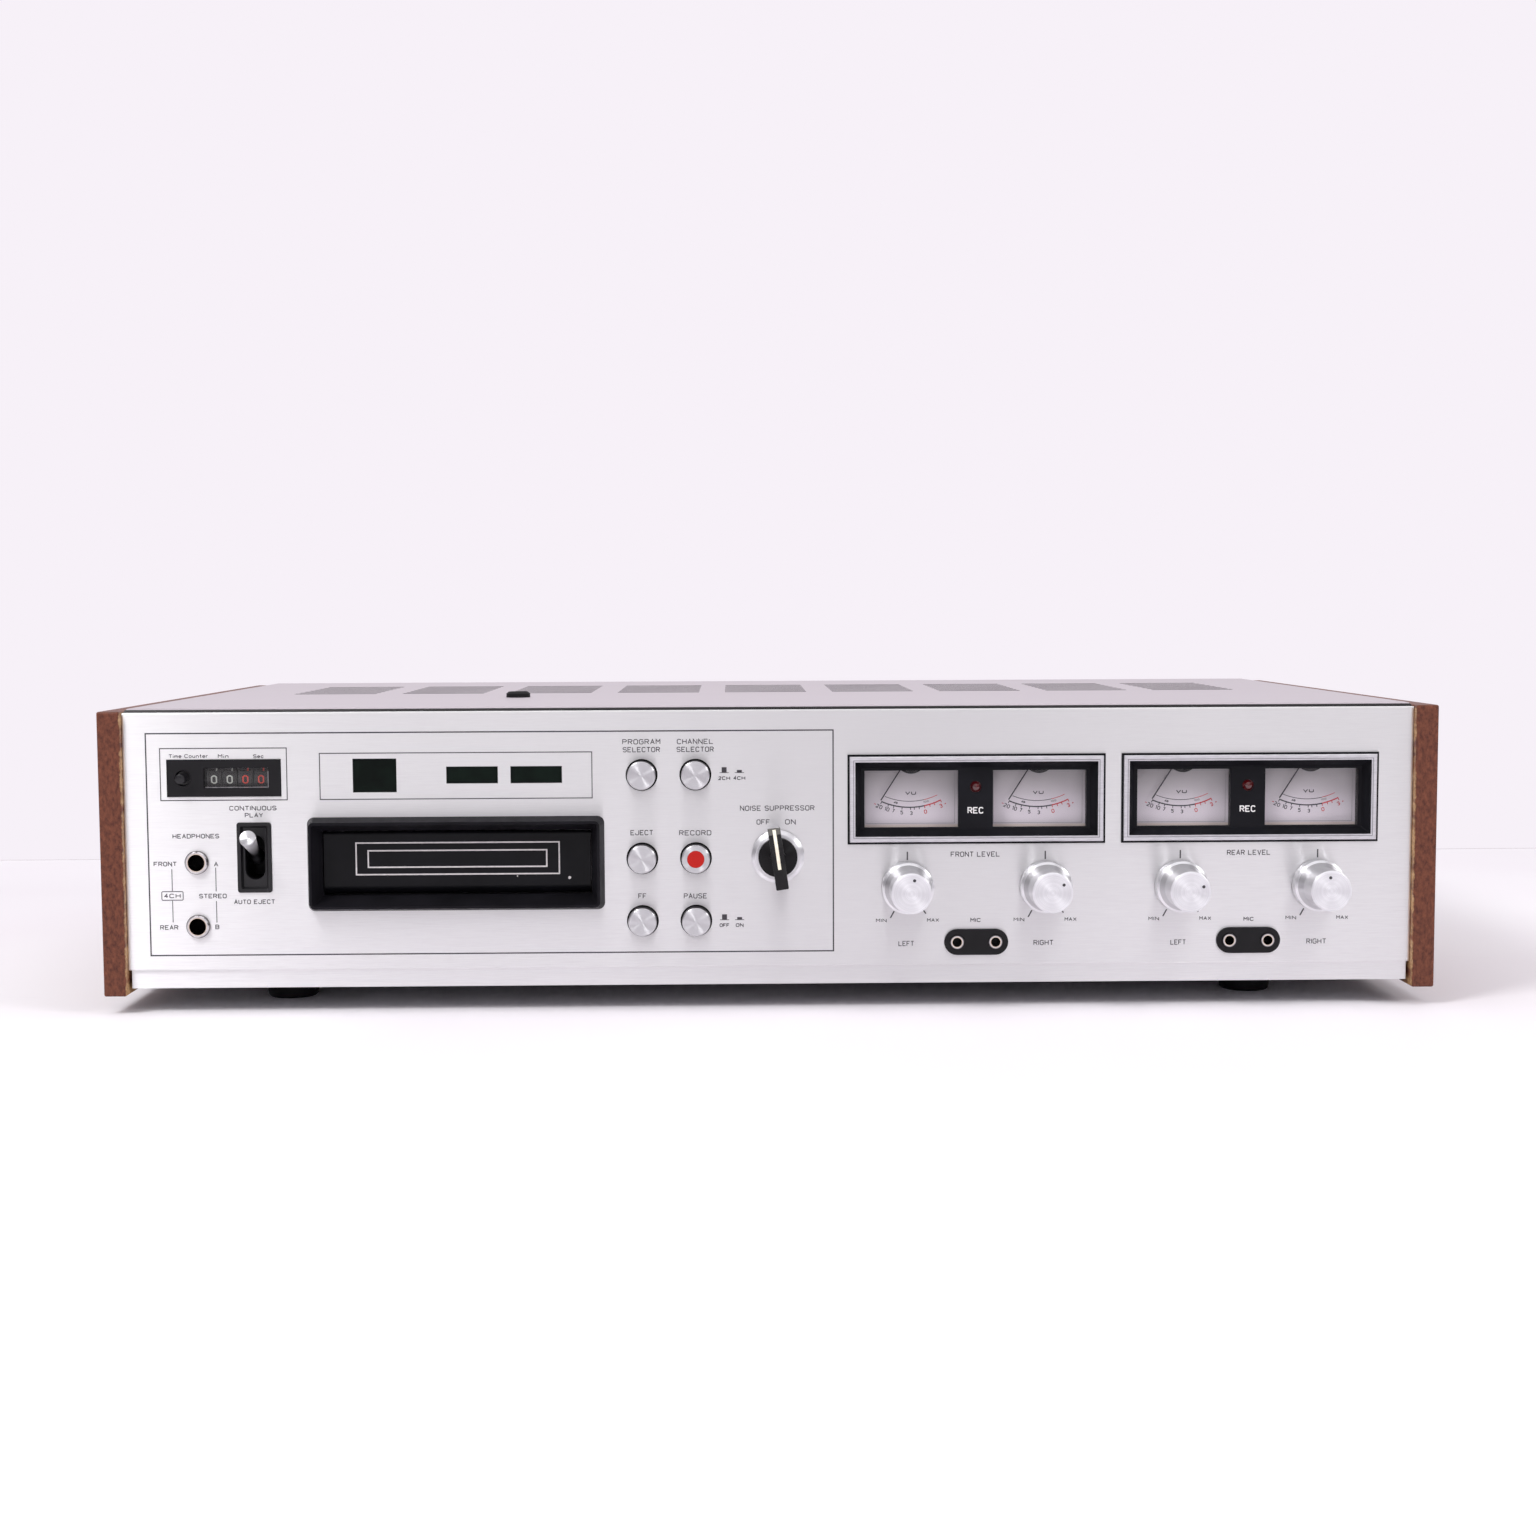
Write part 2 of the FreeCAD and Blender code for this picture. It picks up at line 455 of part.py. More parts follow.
def top_cover():
    """Lid bent down on all four sides, with nine groups of vent slots."""
    low = COVER_TOP - COVER_FLANGE
    rear_in = REAR_Y - SHEET
    outer = block(-BODY_W / 2, BODY_W / 2, back(WALL_DEPTH), REAR_Y, low, COVER_TOP)
    bends = [e for e in edges_along(outer, V(0, 1, 0)) + edges_along(outer, V(1, 0, 0))
             if e.CenterOfMass.z > COVER_TOP - 0.1 and e.CenterOfMass.y < REAR_Y - 0.1]
    outer = outer.makeFillet(COVER_BEND_R, bends)
    inner = block(-CHASSIS_W / 2, CHASSIS_W / 2, back(WALL_BACK), rear_in - SHEET, low - 1, COVER_TOP - SHEET)
    bends = [e for e in edges_along(inner, V(0, 1, 0)) + edges_along(inner, V(1, 0, 0))
             if e.CenterOfMass.z > COVER_TOP - SHEET - 0.1 and e.CenterOfMass.y < rear_in - SHEET - 0.1]
    inner = inner.makeFillet(COVER_BEND_R - SHEET, bends)
    body = outer.cut(inner)
    lip_end = COVER_TOP - COVER_LIP
    short = block(-BODY_W / 2 - 1, BODY_W / 2 + 1, back(0), back(WALL_BACK) + CLEAR, low - 1, lip_end)
    rear_room = block(-BODY_W / 2 - 1, BODY_W / 2 + 1, rear_in, REAR_Y + 1, low - 1, COVER_TOP - SHEET)
    rear_short = block(-CHASSIS_W / 2, CHASSIS_W / 2, rear_in - SHEET - 1, REAR_Y + 1, low - 1, lip_end)
    room = SHEET + CLEAR
    wall_room = [block(x, x + room, rear_in - SHEET - 1, rear_in, low - 1, COVER_TOP - COVER_BEND_R)
                 for x in (-CHASSIS_W / 2, CHASSIS_W / 2 - room)]
    plug_hole = post(PLUG_HOLE_R, PLUG_X, back(PLUG_DEPTH), low, COVER_TOP + 1)
    cutters = wall_room + [short, rear_room, rear_short, plug_hole]
    for group in range(VENT_GROUPS):
        x = (group - (VENT_GROUPS - 1) / 2) * VENT_PITCH
        for row in range(VENT_ROWS):
            y = back(VENT_DEPTH + row * VENT_ROW_PITCH)
            cutters.append(block(x - VENT_W / 2, x + VENT_W / 2, y, y + VENT_SLOT, COVER_TOP - 2 * SHEET,
                                 COVER_TOP + 1))
    cutters += [rod(SCREW_PILOT_R, x, COVER_TOP - COVER_LIP / 2, rear_in - SHEET - 1, rear_in + 1)
                for x in REAR_SCREW_SPREAD]
    return cut_all(body, cutters)


def cheek(side):
    inner_x = side * BODY_W / 2
    outer_x = side * WIDTH / 2
    body = block(min(inner_x, outer_x), max(inner_x, outer_x), back(-CHEEK_PROUD), REAR_Y,
                 FLOOR_GAP, FLOOR_GAP + CHEEK_H)
    body = body.makeFillet(CHEEK_EDGE_R, body.Edges)
    pilots = []
    reach = SCREW_L - 2 * SHEET
    for depth in CHEEK_SCREW_Y:
        for height in CHEEK_SCREW_Z:
            start = V(inner_x, back(depth), up(height))
            pilots.append(Part.makeCylinder(SCREW_R, reach, start, V(side, 0, 0)))
    return cut_all(body, pilots)


def rubber_feet():
    """Four turned feet that flare towards the chassis, each with a screw recess below."""
    top = CHASSIS_Z
    profile = [(0, FOOT_RECESS_H), (FOOT_RECESS_R, FOOT_RECESS_H), (FOOT_RECESS_R, 0), (FOOT_R - 2.0, 0),
               (FOOT_R - 1.2, 0.8), (FOOT_R, top), (0, top)]
    feet = []
    for side in (-1, 1):
        for y in (back(FOOT_INSET_Y), REAR_Y - FOOT_INSET_Y):
            feet.append(turned_up(profile, side * (BODY_W / 2 - FOOT_INSET_X), y))
    return Part.makeCompound(feet)


def screw(place, outward):
    """Pan-head screw with its head's seat at place and its head pointing outward."""
    profile = [(0, -SCREW_L), (SCREW_R, -SCREW_L), (SCREW_R, 0), (SCREW_HEAD_R, 0),
               (SCREW_HEAD_R * 0.8, SCREW_HEAD_H), (0, SCREW_HEAD_H)]
    face = Part.Face(Part.makePolygon([V(r, 0, h) for r, h in profile + profile[:1]]))
    body = face.revolve(V(0, 0, 0), V(0, 0, 1), 360)
    body.Placement = FreeCAD.Placement(place, FreeCAD.Rotation(V(0, 0, 1), outward))
    return body


def case_screws():
    screws = [screw(V(x, REAR_Y, COVER_TOP - COVER_LIP / 2), V(0, 1, 0)) for x in REAR_SCREW_SPREAD]
    for side in (-1, 1):
        for depth in CHEEK_SCREW_Y:
            for height in CHEEK_SCREW_Z:
                seat = side * (CHASSIS_W / 2 - SHEET)
                screws.append(screw(V(seat, back(depth), up(height)), V(-side, 0, 0)))
    return Part.makeCompound(screws)


def cover_plug():
    """Rubber plug: a low domed head on the cover and a barb under the sheet."""
    under = COVER_TOP - SHEET
    profile = [(0, under - PLUG_BARB_H), (PLUG_HOLE_R - 1, under - PLUG_BARB_H),
               (PLUG_HOLE_R + PLUG_BARB, under), (PLUG_HOLE_R, under),
               (PLUG_HOLE_R, COVER_TOP), (PLUG_R, COVER_TOP), (PLUG_R, COVER_TOP + PLUG_H - 0.8),
               (PLUG_R - 1, COVER_TOP + PLUG_H), (0, COVER_TOP + PLUG_H)]
    return turned_up(profile, PLUG_X, back(PLUG_DEPTH))


# ---- counter --------------------------------------------------------------------------------------
def wheel_x(number):
    return COUNTER_WINDOW_X + (number - 1.5) * WHEEL_PITCH


def wheel_axis_depth():
    return WHEEL_FRONT + WHEEL_R


def counter_housing():
    """Bezel and wheel case in one moulding, with the wheels' steel shaft across it."""
    front = slab(COUNTER_X, up(COUNTER_Z), COUNTER_W, COUNTER_H, back(-COUNTER_REACH), back(WALL_BACK))
    rear = slab(COUNTER_X, up(COUNTER_Z), COUNTER_W, COUNTER_BODY_H, back(WALL_BACK),
                back(COUNTER_BODY_DEPTH))
    body = front.fuse(rear)
    room_w = 4 * WHEEL_PITCH + COUNTER_ROOM_OVER
    x, z = COUNTER_WINDOW_X, up(COUNTER_Z)
    room = [slab(x, z, COUNTER_WINDOW_W, COUNTER_WINDOW_H, back(-1), back(WALL_BACK)),
            slab(x, z, room_w, COUNTER_H - 2 * COUNTER_WALL, back(COUNTER_PANE_BACK), back(WALL_BACK)),
            slab(x, z, room_w, COUNTER_BODY_H - 2 * COUNTER_WALL, back(WALL_BACK) - 0.1,
                 back(COUNTER_BODY_DEPTH - COUNTER_WALL)),
            rod(RESET_R + CLEAR, RESET_X, z, back(-1), back(RESET_STEM_L + RESET_TRAVEL + 1))]
    body = cut_all(body, room)
    start = V(x - room_w / 2, back(wheel_axis_depth()), z)
    shaft = Part.makeCylinder(WHEEL_SHAFT_R, room_w, start, V(1, 0, 0))
    return Part.makeCompound([body, shaft])


def counter_window():
    return slab(COUNTER_WINDOW_X, up(COUNTER_Z), COUNTER_WINDOW_W, COUNTER_WINDOW_H, back(COUNTER_PANE_FRONT),
                back(COUNTER_PANE_BACK))


def counter_wheel(number):
    x0 = wheel_x(number) - WHEEL_T / 2
    centre = V(x0, back(wheel_axis_depth()), up(COUNTER_Z))
    body = Part.makeCylinder(WHEEL_R, WHEEL_T, centre, V(1, 0, 0))
    bore = Part.makeCylinder(WHEEL_SHAFT_R + FIT, WHEEL_T + 2, centre.sub(V(1, 0, 0)), V(1, 0, 0))
    dish = Part.makeCylinder(WHEEL_R - WHEEL_RIM, WHEEL_DISH + 1, centre.sub(V(1, 0, 0)), V(1, 0, 0))
    hub = Part.makeCylinder(WHEEL_SHAFT_R + WHEEL_RIM, WHEEL_HUB_T, centre, V(1, 0, 0))
    return body.cut(dish).fuse(hub).cut(bore)


def reset_button():
    profile = [(0, -RESET_REACH), (RESET_FACE_R, -RESET_REACH), (RESET_R, -0.3), (RESET_R, RESET_STEM_L),
               (0, RESET_STEM_L)]
    return turned(profile, RESET_X, up(COUNTER_Z), back(0))


def status_windows():
    return Part.makeCompound([slab(x, up(z), w, h, back(PANEL_T - STATUS_T), back(PANEL_T))
                              for x, z, w, h in STATUS_WINDOWS])


# ---- cartridge mouth, door and bay ------------------------------------------------------------------
def door_pivot():
    """Y and Z of the door's hinge line."""
    return back(DOOR_DEPTH + DOOR_T / 2), up(BAY_Z) + THROAT_H / 2 - DOOR_GAP - DOOR_T / 2


def cartridge_bezel():
    """Sloped frame on the panel, with a collar through it that carries the door's trunnions."""
    x, z = BAY_X, up(BAY_Z)
    front = rounded_wire(x, z, MOUTH_FRONT_W, MOUTH_FRONT_H, back(-MOUTH_REACH), MOUTH_R)
    base = rounded_wire(x, z, MOUTH_FRONT_W + 2 * MOUTH_DRAFT, MOUTH_FRONT_H + 2 * MOUTH_DRAFT, back(0),
                        MOUTH_R + MOUTH_DRAFT / 2)
    frame = Part.makeLoft([front, base], True, True)
    collar = slab(x, z, COLLAR_W, COLLAR_H, back(0), back(COLLAR_DEPTH))
    body = frame.fuse(collar)
    slope = (MOUTH_FRONT_W - 2 * MOUTH_RIM - THROAT_W) / 2 / (MOUTH_REACH + THROAT_DEPTH)
    rise = (MOUTH_FRONT_H - 2 * MOUTH_RIM - THROAT_H) / 2 / (MOUTH_REACH + THROAT_DEPTH)
    mouth = rounded_wire(x, z, MOUTH_FRONT_W - 2 * MOUTH_RIM + 2 * slope,
                         MOUTH_FRONT_H - 2 * MOUTH_RIM + 2 * rise, back(-MOUTH_REACH - 1), 1.0)
    neck = rounded_wire(x, z, THROAT_W, THROAT_H, back(THROAT_DEPTH), 0.4)
    pivot_y, pivot_z = door_pivot()
    bearing = Part.makeCylinder(TRUNNION_R + FIT, COLLAR_W + 2, V(x - COLLAR_W / 2 - 1, pivot_y, pivot_z),
                                V(1, 0, 0))
    hollow = [Part.makeLoft([mouth, neck], True, True),
              slab(x, z, THROAT_W, THROAT_H, back(THROAT_DEPTH) - 0.01, back(COLLAR_DEPTH + 1)), bearing]
    return cut_all(body, hollow)


def cartridge_door():
    """Flap hung from its top edge; the top is rounded about the pivot and the lower edge rolls back."""
    width = THROAT_W - 2 * DOOR_GAP
    pivot_y, pivot_z = door_pivot()
    half = DOOR_T / 2
    low = up(BAY_Z) - THROAT_H / 2 + DOOR_GAP
    x0 = BAY_X - width / 2
    bend = DOOR_LIP + half
    points = [V(x0, pivot_y - half, pivot_z), V(x0, pivot_y - half, low + bend),
              V(x0, pivot_y - half + bend, low), V(x0, pivot_y + half + DOOR_LIP, low + 1.2),
              V(x0, pivot_y + half, low + bend), V(x0, pivot_y + half, pivot_z)]
    turn = math.sqrt(0.5)
    outer_mid = V(x0, points[2].y - bend * turn, points[1].z - bend * turn)
    inner_mid = V(x0, points[3].y - DOOR_LIP * turn, points[4].z - (points[4].z - points[3].z) * turn)
    edges = [Part.LineSegment(points[0], points[1]).toShape(),
             Part.Arc(points[1], outer_mid, points[2]).toShape(),
             Part.LineSegment(points[2], points[3]).toShape(),
             Part.Arc(points[3], inner_mid, points[4]).toShape(),
             Part.LineSegment(points[4], points[5]).toShape(),
             Part.Arc(points[5], V(x0, pivot_y, pivot_z + half), points[0]).toShape()]
    flap = Part.Face(Part.Wire(edges)).extrude(V(width, 0, 0))
    span = COLLAR_W - 2 * CLEAR
    pin = Part.makeCylinder(TRUNNION_R, span, V(BAY_X - span / 2, pivot_y, pivot_z), V(1, 0, 0))
    return flap.fuse(pin).removeSplitter()


def cartridge_bay():
    """Folded steel channel behind the mouth, with a strap over the cartridge."""
    half = THROAT_W / 2 + BAY_SHEET
    floor_z = up(BAY_FLOOR)
    wall_top = floor_z + BAY_WALL_H
    outer = block(BAY_X - half, BAY_X + half, back(COLLAR_DEPTH), back(BAY_END),
                  floor_z - BAY_SHEET, wall_top)
    inner = block(BAY_X - THROAT_W / 2, BAY_X + THROAT_W / 2, back(COLLAR_DEPTH) - 1, back(BAY_END) + 1,
                  floor_z, wall_top + 1)
    channel = outer.cut(inner)
    roof = floor_z + THROAT_H
    y0, y1 = back(STRAP_DEPTH), back(STRAP_DEPTH + STRAP_W)
    strap = block(BAY_X - half, BAY_X + half, y0, y1, roof, roof + BAY_SHEET)
    for x in (BAY_X - half, BAY_X + half - BAY_SHEET):
        strap = strap.fuse(block(x, x + BAY_SHEET, y0, y1, wall_top, roof))
    return channel.fuse(strap).removeSplitter()


# ---- tape transport ---------------------------------------------------------------------------------
def deck_plate():
    """Transport plate on four posts, with the capstan's bearing, its bridge and the head's guide posts."""
    top, under = up(DECK_TOP), up(DECK_TOP) - DECK_T
    x0, x1 = DECK_X - DECK_W / 2, DECK_X + DECK_W / 2
    y0, y1 = back(DECK_FRONT), back(DECK_FRONT + DECK_L)
    plate = block(x0, x1, y0, y1, under, top)
    holes = [post(BEARING_R, CAPSTAN_X, back(CAPSTAN_DEPTH), under - 1, top + 1),
             post(PULLEY_BORE_R + 2, MOTOR_X, back(MOTOR_DEPTH), under - 1, top + 1)]
    plate = cut_all(plate, holes)
    pieces = [plate]
    for x in (x0 + DECK_POST_INSET, x1 - DECK_POST_INSET):
        for y in (y0 + DECK_POST_INSET, y1 - DECK_POST_INSET):
            pieces.append(post(DECK_POST_R, x, y, CHASSIS_FLOOR, under))
    bush = post(BEARING_R, CAPSTAN_X, back(CAPSTAN_DEPTH), top - BEARING_H, top)
    pieces.append(bush.cut(post(CAPSTAN_R + FIT, CAPSTAN_X, back(CAPSTAN_DEPTH),
                                top - BEARING_H - 1, top + 1)))
    low = up(FLYWHEEL_Z) - RUN - BRIDGE_T
    bridge = block(CAPSTAN_X - BRIDGE_REACH, CAPSTAN_X + BRIDGE_REACH, back(CAPSTAN_DEPTH) - BRIDGE_W / 2,
                   back(CAPSTAN_DEPTH) + BRIDGE_W / 2, low, under)
    room = block(CAPSTAN_X - BRIDGE_REACH + BRIDGE_T, CAPSTAN_X + BRIDGE_REACH - BRIDGE_T, back(0),
                 back(BODY_DEPTH), low + BRIDGE_T, under + 1)
    pieces.append(bridge.cut(room))
    for side in (-1, 1):
        pieces.append(post(GUIDE_R, HEAD_X + side * GUIDE_SPREAD, carriage_y(), top, up(GUIDE_TOP)))
    pieces.append(post(CAM_BORE_R - FIT, HEAD_X, back(CAM_DEPTH), top, up(DECK_TOP) + RATCHET_T + CAM_H))
    return Part.makeCompound(pieces)


def carriage_y():
    """Y of the head carriage's middle, behind the tape head."""
    return back(BAY_END + HEAD_GAP + HEAD_L + CARRIAGE_L / 2)


def flywheel():
    """Rimmed flywheel with the capstan standing in its hub."""
    z0, z1 = up(FLYWHEEL_Z), up(FLYWHEEL_Z) + FLYWHEEL_T
    web = z0 + (FLYWHEEL_T - FLYWHEEL_WEB_T) / 2
    hub_top = up(DECK_TOP) - BEARING_H - RUN
    inner = FLYWHEEL_R - FLYWHEEL_RIM
    profile = [(CAPSTAN_R, z0), (FLYWHEEL_HUB_R, z0), (FLYWHEEL_HUB_R, web), (inner, web), (inner, z0),
               (FLYWHEEL_R, z0), (FLYWHEEL_R, z1), (inner, z1), (inner, web + FLYWHEEL_WEB_T),
               (FLYWHEEL_HUB_R, web + FLYWHEEL_WEB_T), (FLYWHEEL_HUB_R, hub_top), (CAPSTAN_R, hub_top)]
    wheel = turned_up(profile, CAPSTAN_X, back(CAPSTAN_DEPTH))
    capstan = post(CAPSTAN_R, CAPSTAN_X, back(CAPSTAN_DEPTH), z0, up(CAPSTAN_TOP))
    return Part.makeCompound([wheel, capstan])


def motor_and_solenoid():
    """Capstan motor on the deck plate and the solenoid that steps the program cam."""
    top = up(DECK_TOP)
    profile = [(0, top), (MOTOR_R, top), (MOTOR_R, top + MOTOR_H - 3), (MOTOR_R - 3, top + MOTOR_H),
               (0, top + MOTOR_H)]
    motor = turned_up(profile, MOTOR_X, back(MOTOR_DEPTH))
    motor = motor.cut(post(PULLEY_BORE_R + CLEAR, MOTOR_X, back(MOTOR_DEPTH),
                           top - 1, top + MOTOR_SHAFT_UP + 1))
    x0 = HEAD_X - RATCHET_R - SOLENOID_GAP - SOLENOID_L
    coil = block(x0, x0 + SOLENOID_L, back(CAM_DEPTH) - SOLENOID_W / 2, back(CAM_DEPTH) + SOLENOID_W / 2,
                 top, top + SOLENOID_H)
    coil = coil.makeFillet(2.0, edges_along(coil, V(1, 0, 0)))
    plunger_start = V(x0 + SOLENOID_L, back(CAM_DEPTH) - SOLENOID_W / 4, top + RATCHET_T / 2 + 1)
    plunger = Part.makeCylinder(PLUNGER_R, SOLENOID_GAP - 0.5, plunger_start, V(1, 0, 0))
    return Part.makeCompound([motor, coil.fuse(plunger).removeSplitter()])


def motor_pulley():
    z0, z1 = up(FLYWHEEL_Z), up(FLYWHEEL_Z) + FLYWHEEL_T
    mid = (z0 + z1) / 2
    reach = BELT_W / 2 + 0.8
    profile = [(PULLEY_BORE_R, z0), (PULLEY_FLANGE_R, z0), (PULLEY_FLANGE_R, mid - reach),
               (PULLEY_R, mid - reach), (PULLEY_R, mid + reach), (PULLEY_FLANGE_R, mid + reach),
               (PULLEY_FLANGE_R, z1), (PULLEY_BORE_R, z1)]
    wheel = turned_up(profile, MOTOR_X, back(MOTOR_DEPTH))
    shaft = post(PULLEY_BORE_R, MOTOR_X, back(MOTOR_DEPTH), z0, up(DECK_TOP) + MOTOR_SHAFT_UP)
    return Part.makeCompound([wheel, shaft])


def belt_outline(grow):
    """Outer or inner line of the belt round the flywheel and the pulley, as a face."""
    ax, ay, ar = CAPSTAN_X, back(CAPSTAN_DEPTH), FLYWHEEL_R + grow
    bx, by, br = MOTOR_X, back(MOTOR_DEPTH), PULLEY_R + grow
    span = math.hypot(bx - ax, by - ay)
    heading = math.atan2(by - ay, bx - ax)
    lean = math.acos((ar - br) / span)
    z = up(FLYWHEEL_Z) + FLYWHEEL_T / 2 - BELT_W / 2

    def on(cx, cy, radius, angle):
        return V(cx + radius * math.cos(angle), cy + radius * math.sin(angle), z)

    a_left, a_right = on(ax, ay, ar, heading + lean), on(ax, ay, ar, heading - lean)
    b_left, b_right = on(bx, by, br, heading + lean), on(bx, by, br, heading - lean)
    edges = [Part.Arc(a_left, on(ax, ay, ar, heading + math.pi), a_right).toShape(),
             Part.LineSegment(a_right, b_right).toShape(),
             Part.Arc(b_right, on(bx, by, br, heading), b_left).toShape(),
             Part.LineSegment(b_left, a_left).toShape()]
    return Part.Face(Part.Wire(edges))


def drive_belt():
    outer = belt_outline(RUN + BELT_T).extrude(V(0, 0, BELT_W))
    return outer.cut(belt_outline(RUN).extrude(V(0, 0, BELT_W)))


def head_carriage():
    """Sliding block on two guide posts, with the tape head in front and an arm over the cam."""
    z0 = up(CARRIAGE_Z)
    y0 = carriage_y() - CARRIAGE_L / 2
    body = block(HEAD_X - CARRIAGE_W / 2, HEAD_X + CARRIAGE_W / 2, y0, y0 + CARRIAGE_L, z0, z0 + CARRIAGE_H)
    body = body.makeFillet(1.5, edges_along(body, V(0, 0, 1)))
    arm_low = up(DECK_TOP) + RATCHET_T + CAM_H + ARM_UP
    follower_x = HEAD_X - (CAM_R + CAM_BORE_R) / 2
    arm_end = back(CAM_DEPTH) + ARM_W / 2
    arm = block(follower_x - ARM_W / 2, follower_x + ARM_W / 2, y0 + CARRIAGE_L - 1, arm_end,
                arm_low, arm_low + ARM_T)
    peg_end = up(DECK_TOP) + RATCHET_T + CAM_H - HEAD_LIFT + CAM_GAP
    peg = post(PEG_R, follower_x, back(CAM_DEPTH), peg_end, arm_low + 1)
    guides = [post(GUIDE_R + FIT, HEAD_X + side * GUIDE_SPREAD, carriage_y(), z0 - 1, z0 + CARRIAGE_H + 1)
              for side in (-1, 1)]
    body = body.fuse(arm).fuse(peg).cut(Part.makeCompound(guides)).removeSplitter()
    head = block(HEAD_X - HEAD_W / 2, HEAD_X + HEAD_W / 2, y0 - HEAD_L, y0, z0 + 1, z0 + 1 + HEAD_H)
    nose = [e for e in edges_along(head, V(0, 0, 1)) if e.CenterOfMass.y < y0 - HEAD_L + 0.1]
    return Part.makeCompound([body, head.makeFillet(4.0, nose)])


def program_cam():
    """Cam with one step for each program, on a ratchet wheel; it turns about an upright pin."""
    z0 = up(DECK_TOP)
    y = back(CAM_DEPTH)
    points = []
    for tooth in range(RATCHET_TEETH):
        angle = 2 * math.pi * tooth / RATCHET_TEETH
        tip, root = RATCHET_R, RATCHET_R - RATCHET_DROP
        points.append(V(HEAD_X + tip * math.cos(angle), y + tip * math.sin(angle), z0 + 0.2))
        points.append(V(HEAD_X + root * math.cos(angle), y + root * math.sin(angle), z0 + 0.2))
    wheel = Part.Face(Part.makePolygon(points + points[:1])).extrude(V(0, 0, RATCHET_T))
    step = 360.0 / HEAD_STEPS
    rise = HEAD_LIFT / (HEAD_STEPS - 1)
    body = wheel
    base = z0 + RATCHET_T
    for number in range(HEAD_STEPS):
        height = CAM_H - HEAD_LIFT + number * rise
        sector = Part.makeCylinder(CAM_R, height, V(HEAD_X, y, base), V(0, 0, 1), step)
        # step 0 lies under the follower, on the -X side, and the steps follow against the turn
        sector.rotate(V(HEAD_X, y, 0), V(0, 0, 1), 180 - step / 2 - number * step)
        body = body.fuse(sector)
    return body.cut(post(CAM_BORE_R, HEAD_X, y, z0 - 1, z0 + 20)).removeSplitter()


# ---- buttons, knobs and switches -----------------------------------------------------------------------
def push_button(x, z, recess):
    """Spun cap on a stem; recess sinks a seat for a coloured disc in its face."""
    tail = WALL_BACK + BUTTON_TAIL - BUTTON_TRAVEL
    cap = rod(BUTTON_R, x, z, back(-BUTTON_REACH), back(tail))
    front = [e for e in cap.Edges if abs(e.CenterOfMass.y - back(-BUTTON_REACH)) < 1e-6]
    cap = cap.makeFillet(BUTTON_EDGE_R, front)
    body = cap.fuse(rod(STEM_R, x, z, back(tail), back(tail + STEM_L)))
    if recess:
        body = body.cut(rod(INSERT_R, x, z, back(-BUTTON_REACH) - 1, back(-BUTTON_REACH + INSERT_T)))
    return body.removeSplitter()


def record_insert():
    x, z = BUTTON_X[1], up(BUTTON_Z[1])
    return rod(INSERT_R, x, z, back(-BUTTON_REACH) + 0.1, back(-BUTTON_REACH + INSERT_T))


def panel_switches():
    """Switches behind the six buttons, behind the selector and behind the lever."""
    pieces = []
    for _, x, z in button_places():
        body = slab(x, z, SWITCH_W, SWITCH_W, back(WALL_BACK), back(WALL_BACK + SWITCH_L))
        pocket = rod(BUTTON_HOLE_R, x, z, back(WALL_BACK) - 1, back(WALL_BACK + BUTTON_TAIL + RUN))
        bore = rod(STEM_R + CLEAR, x, z, back(WALL_BACK), back(WALL_BACK + STEM_L + BUTTON_TAIL + 2))
        pieces.append(body.cut(pocket.fuse(bore)))
    x, z = SELECTOR_X, up(SELECTOR_Z)
    rotary = rod(SELECTOR_BODY_R, x, z, back(WALL_BACK), back(WALL_BACK + SELECTOR_BODY_L))
    rotary = rotary.fuse(rod(BUSH_R, x, z, back(BUSH_SET), back(WALL_BACK)))
    shaft_room = WALL_BACK + SELECTOR_BODY_L - SHAFT_END + 0.5
    pieces.append(rotary.cut(rod(SHAFT_R + FIT, x, z, back(-1), back(shaft_room))))
    x, z = LEVER_X, up(LEVER_Z)
    lever = slab(x, z, LEVER_PLATE_W, LEVER_PLATE_H, back(WALL_BACK), back(WALL_BACK + LEVER_BODY_L))
    room = slab(x, z, LEVER_SLOT_W, LEVER_SLOT_H, back(WALL_BACK) - 1, back(WALL_BACK + LEVER_ROOM_L))
    pieces.append(lever.cut(room).cut(lever_axle(LEVER_AXLE_R + FIT, LEVER_AXLE_OVER + CLEAR)))
    return Part.makeCompound(pieces)


def level_knob(x, z):
    """Turned aluminium knob with a skirt, on the shaft of its control."""
    face = -KNOB_REACH
    base = -KNOB_OFF
    skirt = base - KNOB_SKIRT_L
    shoulder = skirt - KNOB_STEP_L
    depth = KNOB_REACH * 0.3
    profile = [(SHAFT_R, -depth - SHAFT_R), (SHAFT_R, base), (KNOB_SKIRT_R, base),
               (KNOB_SKIRT_R, skirt + 0.8), (KNOB_SKIRT_R - 0.8, skirt),
               (KNOB_GRIP_R + 0.3, shoulder), (KNOB_GRIP_R, shoulder - 0.6),
               (KNOB_GRIP_R, face + 0.5), (KNOB_GRIP_R - 0.5, face), (0, face), (0, -depth - SHAFT_R)]
    knob = turned(profile, x, z, back(0))
    shaft = rod(SHAFT_R, x, z, back(-depth - SHAFT_R), back(WALL_BACK + POT_L - SHAFT_END))
    return Part.makeCompound([knob, shaft])


